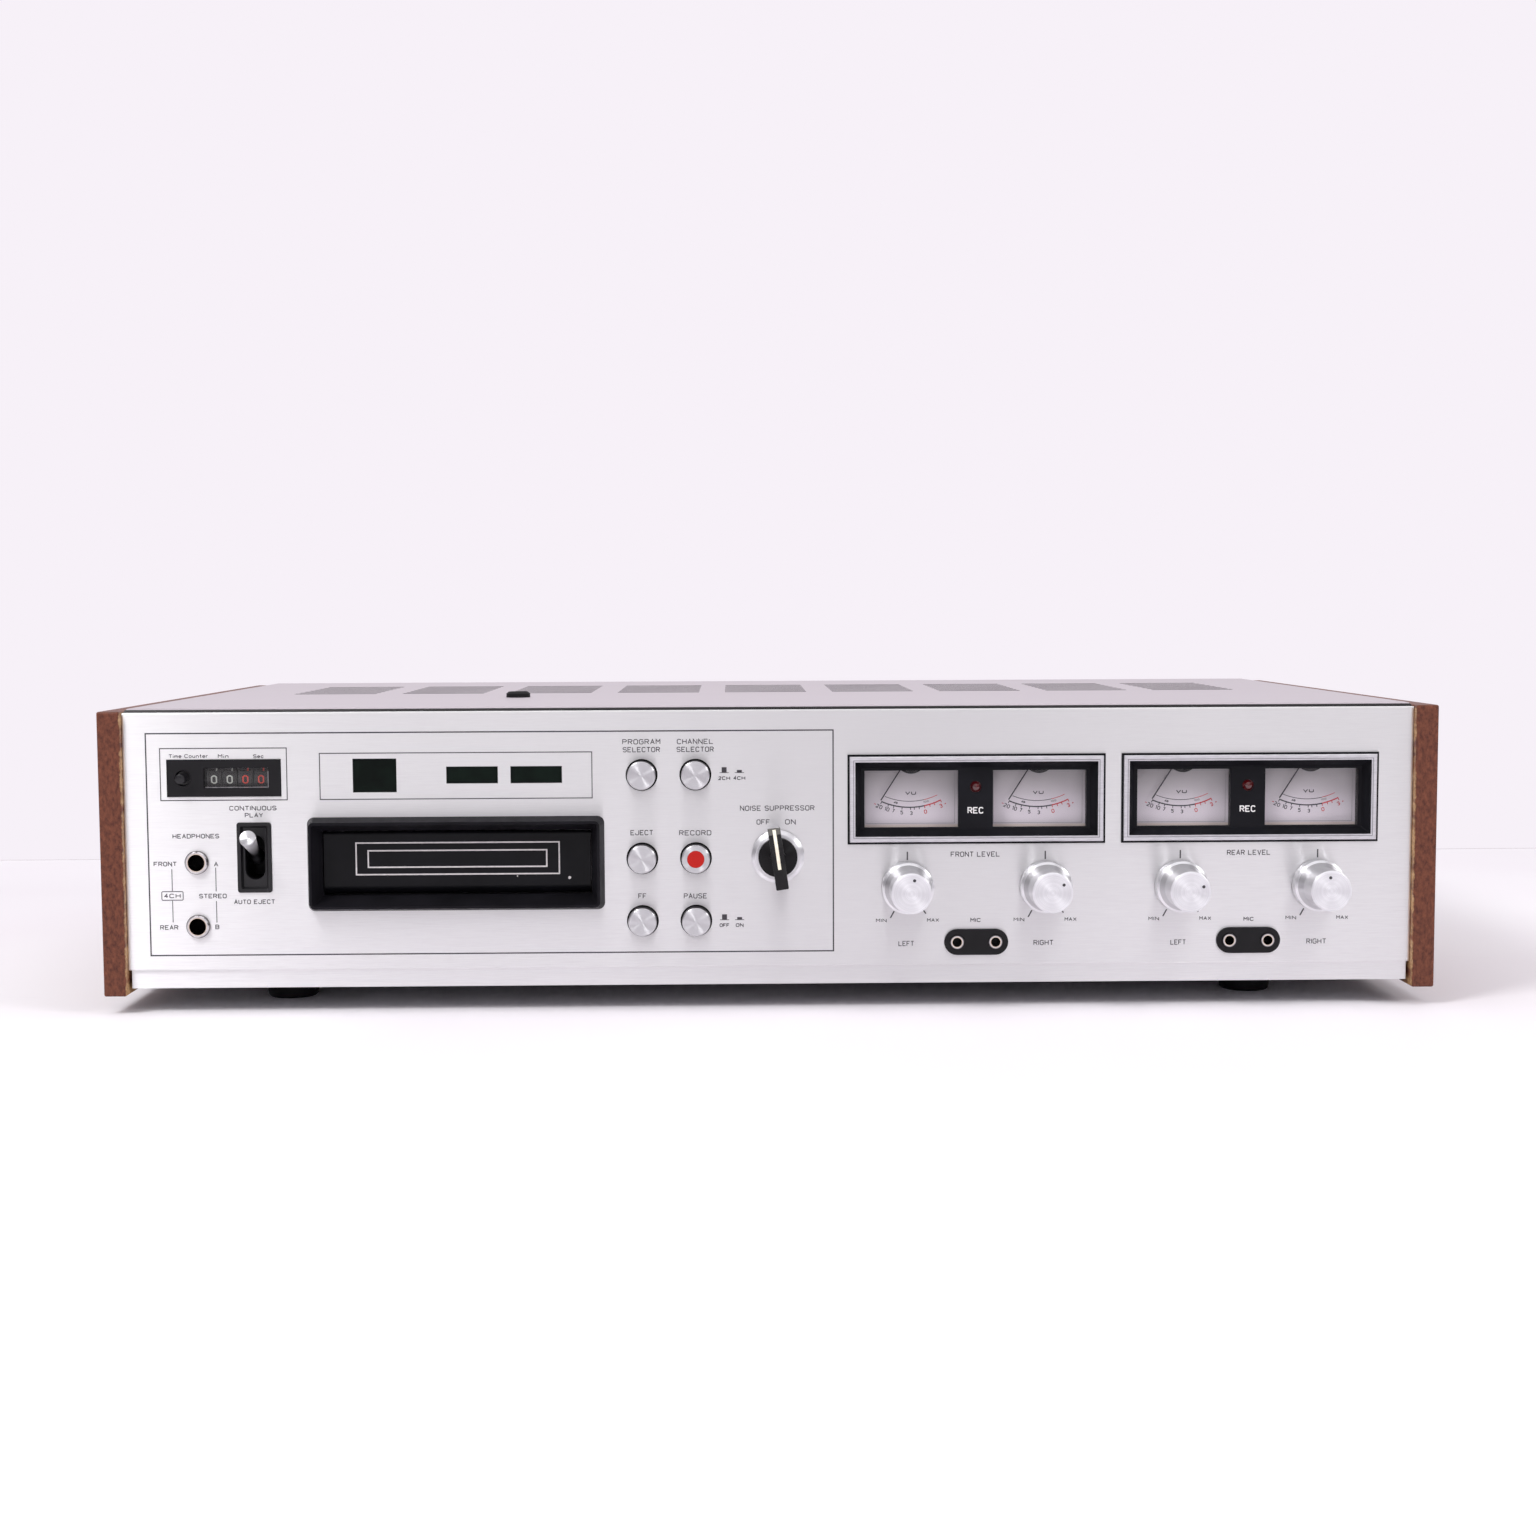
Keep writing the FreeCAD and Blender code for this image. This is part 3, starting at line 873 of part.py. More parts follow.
def level_pots():
    """Cans of the four level controls, each with its threaded bush through the wall and the panel."""
    pots = []
    for _, x, z in knob_places():
        can = rod(POT_R, x, z, back(WALL_BACK), back(WALL_BACK + POT_L))
        body = can.fuse(rod(BUSH_R, x, z, back(BUSH_SET), back(WALL_BACK)))
        pots.append(body.cut(rod(SHAFT_R + FIT, x, z, back(-1), back(WALL_BACK + POT_L - SHAFT_END + 0.5))))
    return Part.makeCompound(pots)


def selector_knob():
    """Aluminium ring, black disc and a pointer bar whose upper end slopes back, on one shaft."""
    x, z = SELECTOR_X, up(SELECTOR_Z)
    base = -KNOB_OFF
    ring_face = base - SELECTOR_RING_L
    disc_face = ring_face - SELECTOR_DISC_L
    ring = turned([(SELECTOR_DISC_R, base), (SELECTOR_RING_R, base), (SELECTOR_RING_R, base - 1.0),
                   (SELECTOR_RING_R - 1.4, ring_face), (SELECTOR_DISC_R, ring_face)], x, z, back(0))
    disc = rod(SELECTOR_DISC_R, x, z, back(disc_face), back(base))
    reach = -BAR_REACH
    half = BAR_L / 2
    side = [V(x, back(ring_face), z - half), V(x, back(reach), z - half),
            V(x, back(reach), z + half - BAR_SLOPE_L), V(x, back(reach + BAR_SLOPE_D), z + half),
            V(x, back(ring_face), z + half)]
    bar = Part.Face(Part.makePolygon(side + side[:1])).extrude(V(BAR_W, 0, 0))
    bar.translate(V(-BAR_W / 2, 0, 0))
    bar = bar.makeFillet(0.5, [e for e in bar.Edges if e.CenterOfMass.y < back(reach + BAR_SLOPE_D) - 0.1])
    bar.rotate(V(x, 0, z), V(0, 1, 0), SELECTOR_ANGLE)
    grip = disc.fuse(bar).removeSplitter()
    socket = rod(SHAFT_R, x, z, back(-8), back(base))
    shaft = rod(SHAFT_R, x, z, back(-8), back(WALL_BACK + SELECTOR_BODY_L - SHAFT_END))
    return Part.makeCompound([ring, grip.cut(socket), shaft])


def lever_axle(radius, over):
    """Pin across the lever's slot that reaches over mm into each wall."""
    length = LEVER_SLOT_W + 2 * over
    start = V(LEVER_X - length / 2, back(LEVER_PIVOT_DEPTH), up(LEVER_Z))
    return Part.makeCylinder(radius, length, start, V(1, 0, 0))


def lever_plate():
    """Black escutcheon with an oval slot whose edge is bevelled."""
    x, z = LEVER_X, up(LEVER_Z)
    plate = rounded_slab(x, z, LEVER_PLATE_W, LEVER_PLATE_H, back(-LEVER_PLATE_T), back(0), LEVER_PLATE_R)
    inset = LEVER_PLATE_EDGE + CLEAR
    tube = slab(x, z, LEVER_PLATE_W - 2 * inset, LEVER_PLATE_H - 2 * inset, back(0), back(WALL_BACK))
    slot = upright_stadium(x, z, LEVER_SLOT_W, LEVER_SLOT_H, back(-1), back(WALL_BACK + 1))
    return plate.fuse(tube).cut(slot).removeSplitter()


def switch_lever():
    """Bat lever: ball at the pivot, tapered neck and a flat-ended tip, tilted up at rest."""
    length = LEVER_PIVOT_DEPTH + LEVER_REACH
    neck = LEVER_BALL_R * 0.8
    profile = [(0, -length), (LEVER_TIP_R - 0.5, -length), (LEVER_TIP_R, -length + 0.5),
               (LEVER_TIP_R, -length + 1.5), (LEVER_NECK_R, -neck), (0, -neck)]
    pivot = V(LEVER_X, back(LEVER_PIVOT_DEPTH), up(LEVER_Z))
    bat = turned(profile, pivot.x, pivot.z, pivot.y)
    body = bat.fuse(Part.makeSphere(LEVER_BALL_R, pivot))
    body = body.fuse(lever_axle(LEVER_AXLE_R, LEVER_AXLE_OVER))
    body.rotate(pivot, V(1, 0, 0), -LEVER_TILT)
    return body


# ---- jacks ----------------------------------------------------------------------------------------------
def phone_jacks():
    """Quarter-inch jacks: ring nut on the panel, threaded bush and body behind."""
    pieces = []
    for height in PHONE_Z:
        x, z = PHONE_X, up(height)
        ring = turned([(0, -PHONE_REACH), (PHONE_RING_R - 0.6, -PHONE_REACH), (PHONE_RING_R, -0.9),
                       (PHONE_RING_R, 0), (0, 0)], x, z, back(0))
        bush = rod(PHONE_BUSH_R, x, z, back(0), back(WALL_BACK))
        body = slab(x, z, PHONE_BODY_W, PHONE_BODY_W, back(WALL_BACK), back(PHONE_BORE_L))
        bore = rod(PHONE_BORE_R, x, z, back(-PHONE_REACH) - 1, back(PHONE_BORE_L - JACK_END))
        pieces.append(ring.fuse(bush).fuse(body).cut(bore).removeSplitter())
    return Part.makeCompound(pieces)


def mic_plates():
    plates = []
    for x in METER_X:
        plate = stadium(x, up(MIC_Z), MIC_PLATE_W, MIC_PLATE_H, back(-MIC_PLATE_T), back(0))
        holes = [rod(MIC_RING_R + CLEAR, x + side * MIC_SPREAD, up(MIC_Z), back(-2), back(1))
                 for side in (-1, 1)]
        plates.append(plate.cut(Part.makeCompound(holes)))
    return Part.makeCompound(plates)


def mic_jacks():
    pieces = []
    for x in mic_places():
        z = up(MIC_Z)
        sleeve = rod(MIC_RING_R, x, z, back(-MIC_PLATE_T - MIC_RING_REACH), back(WALL_BACK))
        body = slab(x, z, MIC_BODY_W, MIC_BODY_W, back(WALL_BACK), back(MIC_BORE_L))
        bore = rod(MIC_BORE_R, x, z, back(-MIC_PLATE_T - MIC_RING_REACH) - 1, back(MIC_BORE_L - JACK_END))
        pieces.append(sleeve.fuse(body).cut(bore).removeSplitter())
    return Part.makeCompound(pieces)


def rear_jacks():
    """Eight line sockets, each with a flange inside the rear panel."""
    inside = REAR_Y - SHEET
    sockets = []
    for x, z in rear_jack_places():
        flange = rod(REAR_FLANGE_R, x, z, inside - REAR_FLANGE_T, inside)
        sleeve = rod(REAR_JACK_R, x, z, inside, REAR_Y + REAR_JACK_REACH)
        bore = rod(REAR_BORE_R, x, z, inside - REAR_FLANGE_T + 1.0, REAR_Y + REAR_JACK_REACH + 1)
        sockets.append(flange.fuse(sleeve).cut(bore).removeSplitter())
    return Part.makeCompound(sockets)


def cord_gland():
    """Moulded strain-relief bush in the rear panel where a mains cord would leave."""
    profile = [(GLAND_BORE_R, -GLAND_L / 2 + 3), (GLAND_R + 1.5, -GLAND_L / 2 + 3), (GLAND_R + 1.5, -SHEET),
               (GLAND_R, -SHEET), (GLAND_R, 1.0), (GLAND_R - 1.5, GLAND_L / 2 + 0.5),
               (GLAND_BORE_R, GLAND_L / 2 + 0.5)]
    return turned(profile, GLAND_X, up(GLAND_Z), REAR_Y)


# ---- meters --------------------------------------------------------------------------------------------
def meter_bezels():
    """Silver frames of the two meter pairs, bevelled inwards."""
    frames = []
    for x in METER_X:
        z = up(BEZEL_Z)
        frame = slab(x, z, BEZEL_W - 2 * BEZEL_OUTLINE, BEZEL_H - 2 * BEZEL_OUTLINE, back(-BEZEL_REACH),
                     back(-MASK_FLANGE_T))
        front_edges = [e for e in frame.Edges if e.CenterOfMass.y < back(-BEZEL_REACH) + 0.01]
        frame = frame.makeFillet(0.5, front_edges)
        frames.append(frame.cut(slab(x, z, RECESS_W, RECESS_H, back(-3), back(1))))
    return Part.makeCompound(frames)


def meter_masks():
    """Black trays with a flange under the frame, sloped walls, two windows and a lamp hole each."""
    masks = []
    for x in METER_X:
        z = up(BEZEL_Z)
        flange = slab(x, z, BEZEL_W, BEZEL_H, back(-MASK_FLANGE_T), back(0))
        body = slab(x, z, RECESS_W + 2 * MASK_WALL, RECESS_H + 2 * MASK_WALL, back(0),
                    back(MASK_DEPTH + MASK_T))
        mouth = rounded_wire(x, z, RECESS_W, RECESS_H, back(-MASK_FLANGE_T), MASK_CORNER_R)
        floor = rounded_wire(x, z, RECESS_W - 2 * MASK_SLOPE, RECESS_H - 2 * MASK_SLOPE, back(MASK_DEPTH),
                             MASK_CORNER_R)
        tray = flange.fuse(body).cut(Part.makeLoft([mouth, floor], True, True))
        holes = [slab(x + side * GLASS_SPREAD, up(GLASS_Z), GLASS_W, GLASS_H, back(0), back(9))
                 for side in (-1, 1)]
        holes.append(rod(LAMP_R + CLEAR / 2, x, up(LAMP_Z), back(0), back(9)))
        masks.append(tray.cut(Part.makeCompound(holes)))
    return Part.makeCompound(masks)


def glass_edges(x):
    """Outer edges of a meter's case: left, right, low, high."""
    half = GLASS_W / 2 + METER_SIDE
    low = up(GLASS_Z) - GLASS_H / 2 - METER_SIDE
    return x - half, x + half, low, up(GLASS_Z) + GLASS_H / 2 + METER_TOP


def meter_windows():
    panes = []
    for x in meter_places():
        x0, x1, z0, z1 = glass_edges(x)
        front = back(MASK_DEPTH + MASK_T)
        panes.append(block(x0, x1, front, front + GLASS_T, z0, z1 - WINDOW_SHORT))
    return Part.makeCompound(panes)


def needle_pivot(x):
    return V(x, 0, up(GLASS_Z) + GLASS_H / 2 + NEEDLE_PIVOT_UP)


def meter_cases():
    """Open-fronted boxes with a bearing boss on the back wall for the needle's spindle."""
    cases = []
    start = MASK_DEPTH + MASK_T + GLASS_T
    for x in meter_places():
        x0, x1, z0, z1 = glass_edges(x)
        outer = block(x0, x1, back(start), back(METER_BACK_DEPTH), z0, z1)
        wall_y, plate_y = back(METER_BACK_DEPTH - METER_WALL), back(SCALE_DEPTH + SCALE_T)
        inner = block(x0 + METER_WALL, x1 - METER_WALL, back(start) - 1, wall_y,
                      z0 + METER_WALL, z1 - METER_WALL)
        ledge = block(x0 + METER_WALL, x1 - METER_WALL, plate_y, wall_y,
                      z0 + METER_WALL, z0 + METER_WALL + METER_LEDGE)
        pivot = needle_pivot(x)
        boss = rod(METER_BOSS_R, pivot.x, pivot.z - 1.0, plate_y, wall_y)
        window_top = up(GLASS_Z) + GLASS_H / 2
        shroud = block(x0 + METER_WALL, x1 - METER_WALL, back(start), back(start + SHROUD_T),
                       window_top, z1 - METER_WALL)
        shroud = shroud.fuse(rod(SHROUD_R, x, window_top + SHROUD_UP, back(start), back(start + SHROUD_T)))
        body = outer.cut(inner).fuse(ledge).fuse(boss)
        body = body.cut(rod(SPINDLE_R + FIT, pivot.x, pivot.z, back(start),
                            back(METER_BACK_DEPTH - SPINDLE_END + 1)))
        cases.append(body.fuse(shroud).removeSplitter())
    return Part.makeCompound(cases)


def meter_scales():
    plates = []
    for x in meter_places():
        x0, x1, z0, z1 = glass_edges(x)
        plate = block(x0 + METER_WALL, x1 - METER_WALL, back(SCALE_DEPTH), back(SCALE_DEPTH + SCALE_T),
                      z0 + METER_WALL, z1 - METER_WALL)
        pivot = needle_pivot(x)
        plates.append(plate.cut(rod(SPINDLE_R + CLEAR, pivot.x, pivot.z, back(0), back(30))))
    return Part.makeCompound(plates)


def meter_needle(x):
    """Thin pointer on a hub and spindle, resting to the left of straight down."""
    pivot = needle_pivot(x)
    front = SCALE_DEPTH - NEEDLE_FRONT
    pointer = block(x - NEEDLE_W / 2, x + NEEDLE_W / 2, back(front), back(front + NEEDLE_T),
                    pivot.z - NEEDLE_L, pivot.z)
    hub = rod(NEEDLE_HUB_R, x, pivot.z, back(front), back(front + NEEDLE_HUB_T))
    spindle = rod(SPINDLE_R, x, pivot.z, back(front + NEEDLE_T), back(METER_BACK_DEPTH - SPINDLE_END))
    body = pointer.fuse(hub).fuse(spindle).removeSplitter()
    body.rotate(V(x, 0, pivot.z), V(0, 1, 0), NEEDLE_REST)
    return body


def record_lamps():
    """Domed red jewels in the masks, each on a lamp holder."""
    lamps = []
    for x in METER_X:
        z = up(LAMP_Z)
        tip = MASK_DEPTH - LAMP_DOME
        dome = turned([(0, tip), (LAMP_R * 0.6, tip + 0.3), (LAMP_R, MASK_DEPTH), (LAMP_R, LAMP_L),
                       (0, LAMP_L)], x, z, back(0))
        collar = rod(LAMP_R + LAMP_COLLAR, x, z, back(MASK_DEPTH + MASK_T), back(LAMP_L))
        lamps.append(dome.fuse(collar).removeSplitter())
    return Part.makeCompound(lamps)


# ---- electronics -----------------------------------------------------------------------------------------
def circuit_board():
    """Amplifier board on four posts, with its row of electrolytic capacitors."""
    x0, x1 = BOARD_LEFT, BOARD_LEFT + BOARD_W
    y0, y1 = back(BOARD_FRONT), back(BOARD_FRONT + BOARD_L)
    z0 = CHASSIS_FLOOR + BOARD_RISE
    pieces = [block(x0, x1, y0, y1, z0, z0 + BOARD_T)]
    for x in (x0 + BOARD_POST_INSET, x1 - BOARD_POST_INSET):
        for y in (y0 + BOARD_POST_INSET, y1 - BOARD_POST_INSET):
            pieces.append(post(BOARD_POST_R, x, y, CHASSIS_FLOOR, z0))
    for number in range(CAPACITORS):
        x = x0 + BOARD_W * (number + 1) / (CAPACITORS + 1)
        pieces.append(post(CAPACITOR_R, x, y1 - CAPACITOR_INSET, z0 + BOARD_T, z0 + BOARD_T + CAPACITOR_H))
    return Part.makeCompound(pieces)


def transformer():
    """Laminated core with its coil, standing on the chassis floor."""
    y1 = REAR_Y - SHEET - CORE_GAP_Y
    y0 = y1 - CORE_L
    core = block(CORE_X - CORE_W / 2, CORE_X + CORE_W / 2, y0, y1, CHASSIS_FLOOR, CHASSIS_FLOOR + CORE_H)
    mid = CHASSIS_FLOOR + CORE_H / 2
    coil = block(CORE_X - COIL_W / 2, CORE_X + COIL_W / 2, y0 - COIL_BULGE, y1 + COIL_BULGE,
                 mid - COIL_H / 2, mid + COIL_H / 2)
    coil = coil.makeFillet(4.0, edges_along(coil, V(0, 0, 1)))
    return Part.makeCompound([core.cut(coil), coil])


# ---- export ----------------------------------------------------------------------------------------------
def all_nodes():
    nodes = {
        "front_panel": front_panel(), "chassis": chassis(), "rear_panel": rear_panel(),
        "top_cover": top_cover(), "left_cheek": cheek(-1), "right_cheek": cheek(1),
        "rubber_feet": rubber_feet(), "case_screws": case_screws(), "cover_plug": cover_plug(),
        "counter_housing": counter_housing(), "counter_window": counter_window(),
        "status_windows": status_windows(), "cartridge_bezel": cartridge_bezel(),
        "cartridge_bay": cartridge_bay(), "cartridge_door": cartridge_door(), "deck_plate": deck_plate(),
        "flywheel": flywheel(), "motor_and_solenoid": motor_and_solenoid(),
        "motor_pulley": motor_pulley(), "drive_belt": drive_belt(),
        "head_carriage": head_carriage(), "program_cam": program_cam(), "panel_switches": panel_switches(),
        "level_pots": level_pots(), "selector_knob": selector_knob(), "lever_plate": lever_plate(),
        "switch_lever": switch_lever(), "phone_jacks": phone_jacks(), "mic_plates": mic_plates(),
        "mic_jacks": mic_jacks(), "rear_jacks": rear_jacks(), "cord_gland": cord_gland(),
        "meter_bezels": meter_bezels(), "meter_masks": meter_masks(), "meter_windows": meter_windows(),
        "meter_cases": meter_cases(), "meter_scales": meter_scales(), "record_lamps": record_lamps(),
        "record_insert": record_insert(), "reset_button": reset_button(), "circuit_board": circuit_board(),
        "transformer": transformer(),
    }
    for name, x, z in button_places():
        nodes[name + "_button"] = push_button(x, z, name == "record")
    for name, x, z in knob_places():
        nodes[name + "_level_knob"] = level_knob(x, z)
    for name, x in zip(KNOB_NAMES, meter_places()):
        nodes[name + "_needle"] = meter_needle(x)
    for number, name in enumerate(WHEEL_NAMES):
        nodes[name + "_wheel"] = counter_wheel(number)
    return nodes


os.makedirs("parts", exist_ok=True)
for node, shape in all_nodes().items():
    shape.exportStep("parts/" + node + ".step")
    box = shape.BoundBox
    print(f"{node:24s} solids {len(shape.Solids):3d}  valid {shape.isValid()}  "
          f"x {box.XMin:8.2f} {box.XMax:8.2f}  y {box.YMin:8.2f} {box.YMax:8.2f}  "
          f"z {box.ZMin:7.2f} {box.ZMax:7.2f}")
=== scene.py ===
"""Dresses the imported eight-track deck: finishes, printed legends, meter faces, camera and light.

Metres, in the part's own frame: X to the right seen from the front, Y to the back, Z up.
Sizes in the tables are millimetres, and MM turns them into metres.
"""
import math

import bmesh
import bpy
from mathutils import Matrix, Vector


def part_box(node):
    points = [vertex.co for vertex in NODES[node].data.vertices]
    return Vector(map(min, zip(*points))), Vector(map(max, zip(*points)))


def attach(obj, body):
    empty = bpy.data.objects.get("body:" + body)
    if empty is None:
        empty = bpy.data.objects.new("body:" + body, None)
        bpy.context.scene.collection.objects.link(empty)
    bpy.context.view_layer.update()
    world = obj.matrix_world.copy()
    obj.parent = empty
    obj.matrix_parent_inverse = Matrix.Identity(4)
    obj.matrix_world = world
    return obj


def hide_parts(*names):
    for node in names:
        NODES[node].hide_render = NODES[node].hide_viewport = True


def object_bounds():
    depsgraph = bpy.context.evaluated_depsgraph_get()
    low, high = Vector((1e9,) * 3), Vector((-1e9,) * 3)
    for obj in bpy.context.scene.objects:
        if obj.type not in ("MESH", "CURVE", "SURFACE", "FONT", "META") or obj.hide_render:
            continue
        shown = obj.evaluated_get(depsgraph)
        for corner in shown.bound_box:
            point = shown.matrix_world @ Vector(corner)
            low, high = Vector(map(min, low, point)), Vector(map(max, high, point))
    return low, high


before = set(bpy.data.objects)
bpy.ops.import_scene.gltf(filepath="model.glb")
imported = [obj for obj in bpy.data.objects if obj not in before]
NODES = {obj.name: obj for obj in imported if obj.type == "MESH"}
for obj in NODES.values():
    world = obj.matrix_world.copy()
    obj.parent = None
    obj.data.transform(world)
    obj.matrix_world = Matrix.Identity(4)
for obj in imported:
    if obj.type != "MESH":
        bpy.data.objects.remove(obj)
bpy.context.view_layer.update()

MM = 0.001

# ---- camera, fitted to the photograph's case corners ----
CAMERA_PLACE = (-0.014627, -0.924501, 0.154135)
CAMERA_RIGHT = (0.999843, -0.01712, -0.004492)
CAMERA_DOWN = (-0.005791, -0.076564, -0.997048)
CAMERA_AHEAD = (0.016726, 0.996918, -0.076652)
CAMERA_LENS, SENSOR = 49.063, 36.0

# ---- printing and small raised details ----
INK_T = 0.03 * MM            # thickness of printed ink
INK_LIFT = 0.005 * MM        # gap under it, so that it never shares a plane with the sheet
LEGEND_STROKE, SMALL_STROKE = 0.3, 0.25      # lines of the panel's lettering


# ---- places read off the CAD nodes ----
def front(node):
    """Y of a node's front."""
    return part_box(node)[0].y


def spot(node):
    """X and Z of the axis of a round node."""
    low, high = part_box(node)
    return (low.x + high.x) / 2, (low.z + high.z) / 2


PANEL_LOW, PANEL_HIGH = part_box("front_panel")
PANEL = PANEL_LOW.y

# ---- node material helpers ----
NOISE_REACH = (0.3, 0.7)     # most of a noise lies between these


class Nodes:
    """Short ways to add nodes to a tree."""

    def __init__(self, tree):
        self.tree = tree

    def node(self, kind, inputs=(), **values):
        """A new ShaderNode of a kind with its settings; inputs maps sockets to outputs or plain values."""
        made = self.tree.nodes.new("ShaderNode" + kind)
        for key, value in values.items():
            setattr(made, key, value)
        for socket, value in dict(inputs).items():
            if isinstance(value, bpy.types.NodeSocket):
                self.link(value, made.inputs[socket])
            else:
                made.inputs[socket].default_value = value
        return made

    def link(self, source, target):
        self.tree.links.new(source, target)

    def split(self, vector):
        return self.node("SeparateXYZ", {0: vector}).outputs

    def join(self, x, y, z):
        return self.node("CombineXYZ", {0: x, 1: y, 2: z}).outputs[0]

    def math(self, operation, a, b=0.0):
        return self.node("Math", {0: a, 1: b}, operation=operation).outputs[0]

    def minus(self, a, b):
        return self.math("SUBTRACT", a, b)

    def size(self, a):
        return self.math("ABSOLUTE", a)

    def less(self, a, b):
        """1 where a is less than b."""
        return self.math("LESS_THAN", a, b)

    def times(self, product, *values):
        for value in values:
            product = self.math("MULTIPLY", product, value)
        return product

    def vector(self, operation, a, b=(0.0, 0.0, 0.0)):
        made = self.node("VectorMath", {0: a, 1: b}, operation=operation)
        return made.outputs["Value" if operation in ("LENGTH", "DOT_PRODUCT") else "Vector"]

    def normal(self):
        return self.split(self.node("NewGeometry").outputs["Normal"])

    def wall(self, axis):
        """1 on surfaces that run along an axis."""
        return self.less(self.size(self.normal()[axis]), 0.5)

    def span(self, value, low, high, to_low=0.0, to_high=1.0, smooth=False):
        """Maps low..high to to_low..to_high, clamped."""
        inputs = {"Value": value, "From Min": low, "From Max": high, "To Min": to_low, "To Max": to_high}
        kind = "SMOOTHSTEP" if smooth else "LINEAR"
        return self.node("MapRange", inputs, interpolation_type=kind).outputs["Result"]

    def mix(self, share, a, b):
        """Colour mix; a and b are colours or outputs."""
        a, b = (rgb(c) if isinstance(c, tuple) else c for c in (a, b))
        return self.node("Mix", {0: share, 6: a, 7: b}, data_type="RGBA").outputs[2]

    def uneven(self, noise, low, high):
        """A value that follows a noise from low to high."""
        return self.span(noise, *NOISE_REACH, low, high)

    def mottled(self, noise, a, b):
        """A colour that follows a noise from a to b."""
        return self.mix(self.uneven(noise, 0.0, 1.0), a, b)


class Paint(Nodes):
    """A node material with one Principled shader."""

    def __init__(self, name, color, rough=0.5, metal=0.0, gloss=0.5, brushed=0.0):
        self.mat = bpy.data.materials.new(name)
        self.mat.use_nodes = True
        super().__init__(self.mat.node_tree)
        self.shader = self.tree.nodes["Principled BSDF"]
        for socket, value in (("Base Color", rgb(color)), ("Roughness", rough), ("Metallic", metal),
                              ("Specular IOR Level", gloss), ("Anisotropic", brushed)):
            self.shader.inputs[socket].default_value = value
        # object coordinates: the part's own frame, which turns with the piece
        self.where = self.node("TexCoord").outputs["Object"]

    def noise(self, scale, detail=4.0, rough=0.55, stretch=(1, 1, 1), where=None):
        """Noise from 0 to 1 over positions stretched by a factor on each axis."""
        spread = self.vector("MULTIPLY", self.where if where is None else where, stretch)
        inputs = {"Vector": spread, "Scale": scale, "Detail": detail, "Roughness": rough}
        return self.node("TexNoise", inputs).outputs["Fac"]

    def color(self, source):
        self.link(source, self.shader.inputs["Base Color"])

    def rough(self, source):
        self.link(source, self.shader.inputs["Roughness"])

    def metal(self, source):
        self.link(source, self.shader.inputs["Metallic"])

    def tangent(self, source):
        self.link(source, self.shader.inputs["Tangent"])

    def bump(self, height, strength, distance):
        made = self.node("Bump", {"Strength": strength, "Distance": distance, "Height": height})
        self.link(made.outputs["Normal"], self.shader.inputs["Normal"])

    def surface(self, share, a, b):
        """Shows a mix of two shaders."""
        mixed = self.node("MixShader", {0: share, 1: a.outputs[0], 2: b.outputs[0]})
        self.link(mixed.outputs[0], self.tree.nodes["Material Output"].inputs["Surface"])


def rgb(color):
    """(r, g, b) from 0 to 255 sRGB, as linear RGBA."""
    def linear(c):
        c /= 255
        return c / 12.92 if c <= 0.04045 else ((c + 0.055) / 1.055) ** 2.4

    return tuple(linear(c) for c in color) + (1.0,)


def shade(color, factor=1.0, plus=0):
    """A darker or lighter colour."""
    return tuple(min(255, c * factor + plus) for c in color)


# ---- finishes ----
SILVER, BUTTON_SILVER, LEVER_SILVER = (246, 245, 248), (216, 215, 218), (196, 195, 198)
PANEL_RIM, PANEL_LIP = 2.0 * MM, 8.0 * MM    # outer edges of the panel, left out of the painted shade of the hole walls
SHADE_BAND_X, SHADE_BAND_REACH = 0.04, (0.02, 0.13)      # middle of a band of painted shade down the panel, and the distances over which it fades out
FINE_BUMP = (0.04, 0.02 * MM)                # strength and height of brush marks and grooves


def brushed_panel():
    """Horizontally brushed, lacquered aluminium; painted shade greys its top, darkens a band down its middle
    and darkens the walls of its holes.
    """
    m = Paint("brushed_aluminium", (250, 249, 251), 0.4, 1.0, brushed=1.0)
    place = m.split(m.where)
    fine = m.noise(1.0, 3.0, 0.65, (110, 900, 3000))
    broad = m.noise(1.0, 2.0, 0.5, (9, 60, 300))
    lines = m.math("ADD", m.times(fine, 0.8), m.times(broad, 0.2))
    tone = m.mottled(lines, (244, 242, 244), (255, 254, 255))
    # painted shade: the panel greys towards its top
    rise = m.span(place["Z"], PANEL_LOW.z, PANEL_HIGH.z, smooth=True)
    tone = m.mix(m.times(rise, 0.5), tone, (234, 234, 233))
    # painted shade: a darker band down the middle of the panel
    shade_band = m.span(m.size(m.minus(place["X"], SHADE_BAND_X)), *SHADE_BAND_REACH, 0.5, 0.0, smooth=True)
    tone = m.mix(shade_band, tone, (228, 227, 228))
    # painted shade: the walls of the holes through the panel are coloured dark
    hole = m.times(m.wall("Y"), m.less(m.size(place["X"]), PANEL_HIGH.x - PANEL_RIM),
                   m.less(PANEL_LOW.z + PANEL_LIP, place["Z"]), m.less(place["Z"], PANEL_HIGH.z - PANEL_RIM))
    m.color(m.mix(hole, tone, (30, 27, 29)))
    m.rough(m.uneven(lines, 0.37, 0.43))
    m.tangent(m.join(0.0, 0.0, 1.0))
    m.bump(fine, *FINE_BUMP)
    return m.mat


def grooves(m, offset, depth, rough):
    """Grooves round an axis along Y, on its faces, cones and sides alike, with the sheen that they give."""
    m.tangent(m.vector("ADD", m.vector("NORMALIZE", offset), (0.0, 0.6, 0.0)))
    return m.noise(1.0, 2.0, rough, (5200, 3600, 1), m.join(m.vector("LENGTH", offset), depth, 0.0))


